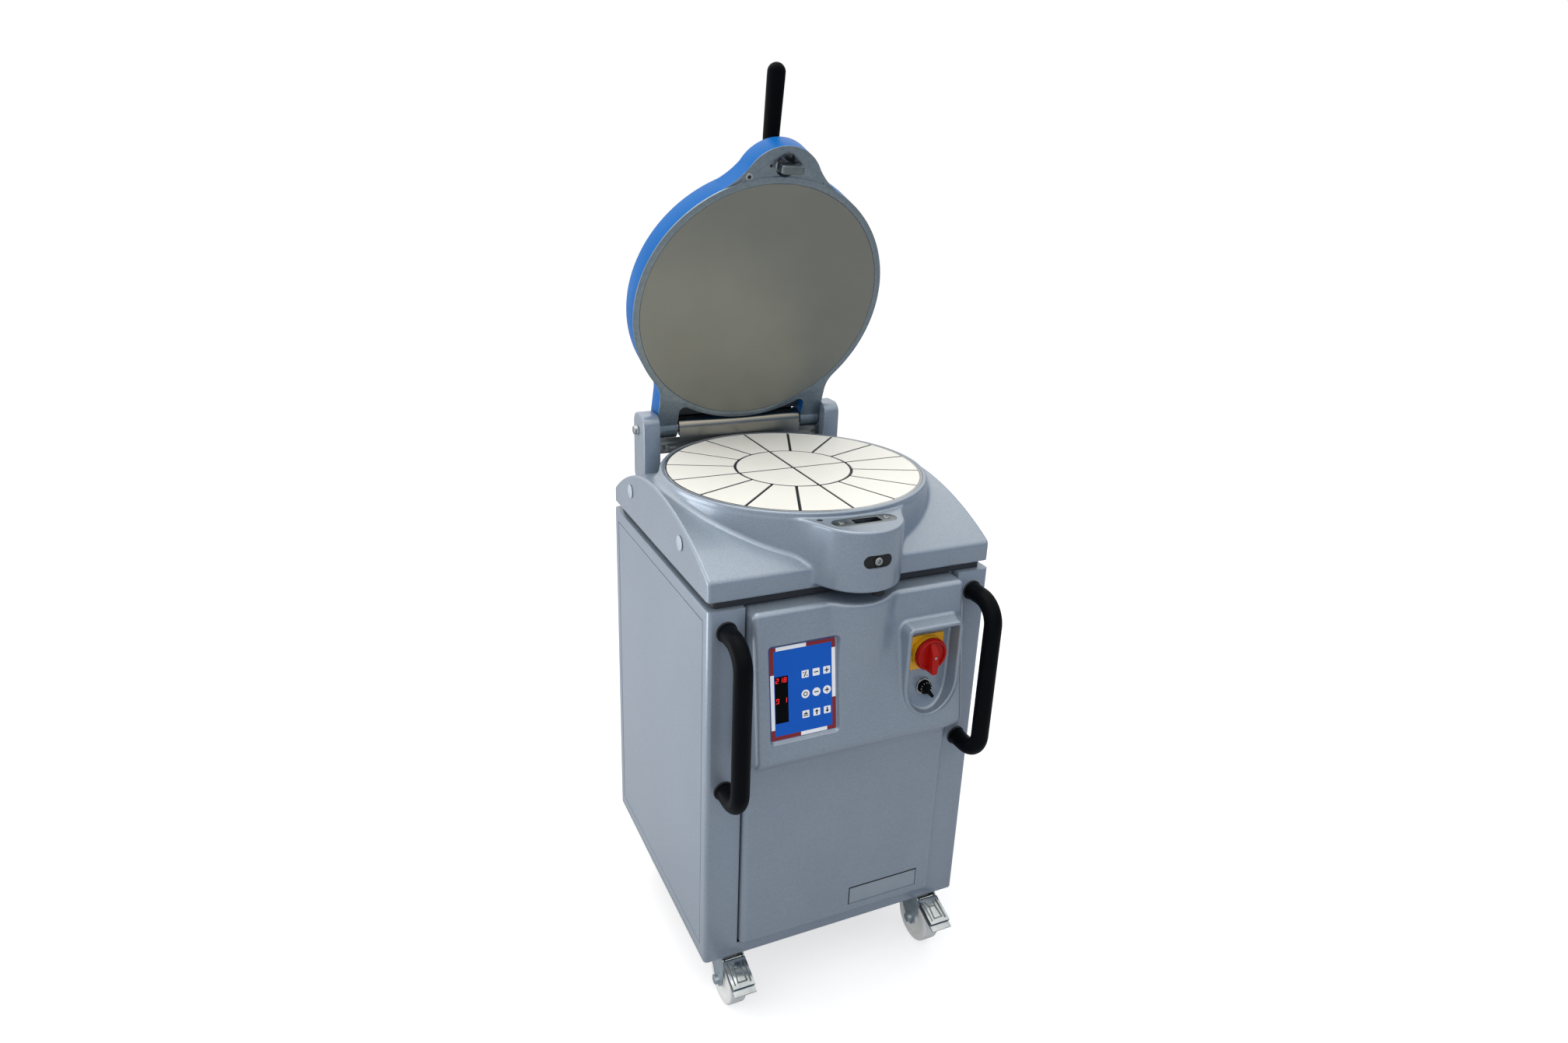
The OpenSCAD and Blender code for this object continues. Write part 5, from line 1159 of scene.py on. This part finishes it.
def make_main_switch():
    """Dished red knob with a grip bar that points down, its screw, and the yellow collar."""
    place = from_front(HOOD_X, SWITCH_Z)
    bm = bmesh.new()
    turned(bm, [(0, 295.2), (4, 295.2), (4, 304), (22, 304), (22, 311.6), (30, 311.6),
                (30.8, 312.6), (30.8, 316.4), (30, 317.4), (29.3, 320.6), (28, 322), (26.2, 322),
                (25.2, 321.2), (24, 317.6), (0, 317.0)], place, 64)
    low, high = 316.2, 332.2
    bar = [(-5, 24, 0.12), (5, 24, 0.12), (7.4, 6, 1), (7.4, -18, 1), (6.2, -29, 1),
           (4.4, -32.5, 1), (-4.4, -32.5, 1), (-6.2, -29, 1), (-7.4, -18, 1), (-7.4, 6, 1)]
    rings = [[bm.verts.new(place @ Vector((u * share, v, low + (high - low) * rise * part)))
              for u, v, rise in bar]
             for share, part in ((1.08, 0.0), (1.0, 0.4), (0.96, 0.9), (0.86, 1.0))]
    loft(bm, rings, capped=False)
    top = rings[-1]
    for cap in (rings[0][::-1], (top[0], top[1], top[2], top[-1]), top[2:]):
        bm.faces.new(cap)
    finished(bm, "main_switch_knob", red_mould, "switch_knob", ("switch_knob",), 32)
    bm = bmesh.new()
    turned(bm, [(0, 331.9), (2.6, 331.9), (2.6, 332.3), (2.1, 332.4), (0, 332.4)], place, 20)
    prism(bm, rect(4.4, 0.8), place, 332.0, 332.38)
    finished(bm, "main_switch_screw", machined_steel, "switch_knob")
    bm = bmesh.new()
    turned(bm, [(24.4, 301.6), (31.8, 301.6), (31.2, 308.6), (30.2, 310.2), (28.2, 310.8),
                (24.4, 310.8)], place, 64, closed=True)
    for a in (150, 210, 270, 330):
        spot = place @ Matrix.Rotation(math.radians(a), 4, "Z") @ Matrix.Translation((31.0, 0, 0))
        prism(bm, rect(4.6, 9, 1), spot, 301.6, 306.4)
    finished(bm, "switch_collar", yellow_mould, "machine")


make_main_switch()

# ---------------------------------------------------------------- grip and webs of the lid


def make_grip():
    """Grip of the lid: flared foot, bent neck and a broad flattened lever with a round end. The
    path's stations have a place, a direction and two half widths."""
    bend_r, bend_z, bend, steps = 30, 1024, 78, 9
    wide, thick = 14.8, 14.2
    path = [((LATCH_Y, 1014.0), 90, 27, 24), ((LATCH_Y, 1018.6), 90, 27, 24),
            ((LATCH_Y, 1020.4), 90, 25.4, 21.5), ((LATCH_Y, 1024.0), 90, 22.6, 16.5)]
    for k in range(1, steps + 1):
        a, flare = math.radians(bend * k / steps), (1 - k / steps) ** 2
        spot = (LATCH_Y - bend_r + bend_r * math.cos(a), bend_z + bend_r * math.sin(a))
        path.append((spot, 90 + math.degrees(a), wide + 7.0 * flare, thick + 1.6 * flare))
    (y0, z0), way, _, _ = path[-1]
    turn = math.radians(way)
    length, swell, end, even, count = 118.6, 90, 16, 14, 30
    for k in range(1, count + 1):
        s = length * (1 - (1 - max(k, even) / count) ** 2) * min(1, k / even)
        close = max(0.0, (s - (length - end)) / end)
        shrink = math.sqrt(max(0.0, 1 - close * close))
        path.append(((y0 + s * math.cos(turn), z0 + s * math.sin(turn)), way,
                     (wide + 1.7 * min(1, s / swell)) * shrink,
                     (thick - 1.0 * min(1, s / swell)) * shrink))
    bm = bmesh.new()
    n, squareness = 36, 0.86
    rings = []
    for (y, z), way, a, b in path[:-1]:
        up = Vector((0, -math.sin(math.radians(way)), math.cos(math.radians(way))))
        ring = []
        for i in range(n):
            c, q = math.cos(2 * math.pi * i / n), math.sin(2 * math.pi * i / n)
            c, q = (math.copysign(abs(v) ** squareness, v) for v in (c, q))
            ring.append(bm.verts.new(ON_LID @ (Vector((c * a, y, z)) + up * (q * b))))
        rings.append(ring)
    rings.append([bm.verts.new(ON_LID @ Vector((0, *path[-1][0])))])
    loft(bm, rings)
    finished(bm, "lid_grip", black_nylon, "lid", ("lid_handle",), 45)


def make_lid_webs():
    """The casting's webs: the sweeps from ring to nose, the arches from ring to lugs and the bar
    between the lugs; and a dark flap of painted shade that closes the gap over the hinge guard."""
    below = from_above(0, 0, ON_LID)
    ring, nose, out, r = 253.6, 78.6, -229.0, 150.0
    y = ((ring + r) ** 2 - (nose + r) ** 2 + out * out) / (2 * out)
    x = math.sqrt((ring + r) ** 2 - y * y)
    start, stop = math.atan2(-y, -x), math.atan2(out - y, -x)
    sweep = (stop - start + math.pi) % (2 * math.pi) - math.pi
    side = [(x + r * math.cos(start + sweep * k / 16), y + r * math.sin(start + sweep * k / 16))
            for k in range(17)] + [(56.0, -240.0), (80.0, -225.0)]
    lug, corner = 138.5, 12.0
    rise = math.sqrt((ring + corner) ** 2 - (lug - corner) ** 2)
    turn = math.atan2(-rise, corner - lug)
    arch = [(lug - corner + corner * math.cos(turn * k / 10),
             rise + corner * math.sin(turn * k / 10)) for k in range(11)]
    arch += [(117, 214), (146, 200), (147, rise)]
    bm = bmesh.new()
    for outline, low, high in ((side, 970.6, 1012.6), (arch, 968.2, 1012.4)):
        for s in (-1, 1):
            prism(bm, [(s * u, v) for u, v in outline], below, low, high)
    prism(bm, [(-139, 214), (139, 214), (139, 254.2), (-139, 254.2)], below, 991, 1012)
    finished(bm, "lid_webs", lid_finish, "lid")
    # Painted shade: near-black sheets where the gap behind the ring's arches lies in shade.
    bm = bmesh.new()
    prism(bm, [(-138, 216), (138, 216), (138, 254), (-138, 254)], below, 989.4, 990.9)
    prism(bm, [(-134, 250), (134, 250), (134, 280), (-134, 280)], below, 1005.8, 1007.0)
    new_piece("hinge_flap", closed_mesh("hinge_flap", bm), dark_primer, "lid")


make_grip()
make_lid_webs()

# ---------------------------------------------------------------- small fittings


def make_nose_parts():
    """Black window back, end of the lock under the nose, and a black plug of painted shade in the pin
    hole.
    """
    bm = bmesh.new()
    prism(bm, obround(51.6, 22.6), from_front(0, WINDOW_Z), 322.0, 326.2)
    turned(bm, [(0, 851), (11.5, 851), (11.5, 840), (9.5, 837), (0, 836)],
           from_above(14, -311), 32)
    # Painted shade: a black plug that darkens the pin hole.
    prism(bm, circle(10.8, 24), from_above(*PIN_AT), 945.2, 955.6)
    finished(bm, "nose_black_parts", black_seal, "machine")


def make_plate():
    bm = bmesh.new()
    prism(bm, rect(148.0, 38.2, 1.2), from_front(PLATE_AT[0] + 1, PLATE_AT[1] - 1), 275.6, 277.4)
    finished(bm, "bare_plate", bare_plate, "machine")


def make_guard_wings():
    """Bright strips that carry the hinge guard on to both towers."""
    bm = bmesh.new()
    for x in (-158.4, 158.4):
        prism(bm, rect(47.6, 8.4), from_front(x, 963.0, 257.5), 0.1, 1.5)
        prism(bm, rect(47.6, 4.4), from_front(x, 960.8, 270.4), 0.0, 1.8)
    new_piece("guard_wings", closed_mesh("guard_wings", bm), rolled_steel, "machine")


def joint_strips(half, low=142, high=805, wide=2.6):
    """Middle and outline of each strip of the dark joint round a panel."""
    for u0, u1, v0, v1 in ((-half, wide - half, low, high), (half - wide, half, low, high),
                           (-half, half, low, low + wide), (-half, half, high - wide, high)):
        yield (u0 + u1) / 2, (v0 + v1) / 2, rect(u1 - u0 - 0.1, v1 - v0 - 0.1)


def make_seals():
    """Dark joints of the side and rear panels, and painted shadow along the bare plate's upper and
    left edges.
    """
    bm = bmesh.new()
    for x in (-268.1, 268.1):
        for y, z, outline in joint_strips(243):
            place = TO_ROW @ plane_at((x, y, z), (0, 1, 0), (0, 0, 1))
            prism(bm, outline, place, -0.15, 0.3)
    for x, z, outline in joint_strips(246):
        prism(bm, outline, from_front(x, z, 265.2), -0.3, 0.15)
    # Painted shadow: black strips along the plate's upper and left edges, where the recess's rim
    # shades it.
    x, z = PLATE_AT
    prism(bm, rect(150.6, 4.2), from_front(x, z + 18.3), 275.8, 277.9)
    prism(bm, rect(2.8, 36), from_front(x - 73.9, z - 1.8), 275.8, 277.9)
    new_piece("panel_seals", closed_mesh("panel_seals", bm), black_seal, "machine")


def make_lid_pocket():
    """Holes in the lid's nose as black discs of painted shade, and the sleeve, plug and pin in and
    beside its latch bore.
    """
    bush = (-67, -251)
    bm = bmesh.new()
    # Painted shade: thin black discs stand for the two holes.
    for x, y, d in ((-29, -272, 5.5), (*bush, 6.5)):
        prism(bm, circle(d, 24), from_above(x, y, ON_LID), 969.75, 970.1)
    finished(bm, "pad_holes", black_seal, "lid")
    bm = bmesh.new()
    turned(bm, [(3.6, 969.6), (6.6, 969.6), (6.9, 970.1), (3.4, 970.1)],
           from_above(*bush, ON_LID), 32, closed=True)
    turned(bm, [(0, 1001.4), (20.6, 1001.4), (20.6, 986), (19.6, 985), (0, 985)],
           from_above(0, LATCH_Y, ON_LID), 48)
    turned(bm, [(0, 985.4), (4.2, 985.4), (4.2, 972.6), (3.2, 971.6), (0, 971.6)],
           from_above(1, -276, ON_LID), 24)
    finished(bm, "lid_pocket_fittings", machined_steel, "lid")


def make_pedal_reliefs():
    """Stamped lines on both pedals and their folded cheeks."""
    slope = math.radians(20)
    across, along = Vector((1, 0, 0)), Vector((0, math.cos(slope), math.sin(slope)))
    wide = 2.2
    for side, x in (("left", -212), ("right", 212)):
        face = Vector((x, -262, 104)) + 9 * across.cross(along)
        place = TO_ROW @ plane_at(face, across, along)
        bm = bmesh.new()
        for u0, v0, u1, v1 in ((-11, -13, -6.5, -24), (-6.5, -24, -9, -50), (-9, -50, 9, -50),
                               (9, -50, 6.5, -24), (6.5, -24, 11, -13), (-6.5, -24, 6.5, -24),
                               (-15.5, -12, -15.5, -53), (15.5, -12, 15.5, -53)):
            line = place @ Matrix.Translation(((u0 + u1) / 2, (v0 + v1) / 2, 0))
            line = line @ Matrix.Rotation(math.atan2(v1 - v0, u1 - u0), 4, "Z")
            prism(bm, rect(math.hypot(u1 - u0, v1 - v0) + wide, wide, 1.0, 3), line, -0.5, 1.5)
        for s in (-1, 1):
            cheek = place @ Matrix.Translation((s * 20.6, -35.5, 0))
            prism(bm, rect(1.8, 45, 0.8, 3), cheek, -12, -0.4)
        finished(bm, side + "_pedal_relief", milled_steel, side + "_brake")


make_nose_parts()
make_plate()
make_guard_wings()
make_seals()
make_lid_pocket()
make_pedal_reliefs()
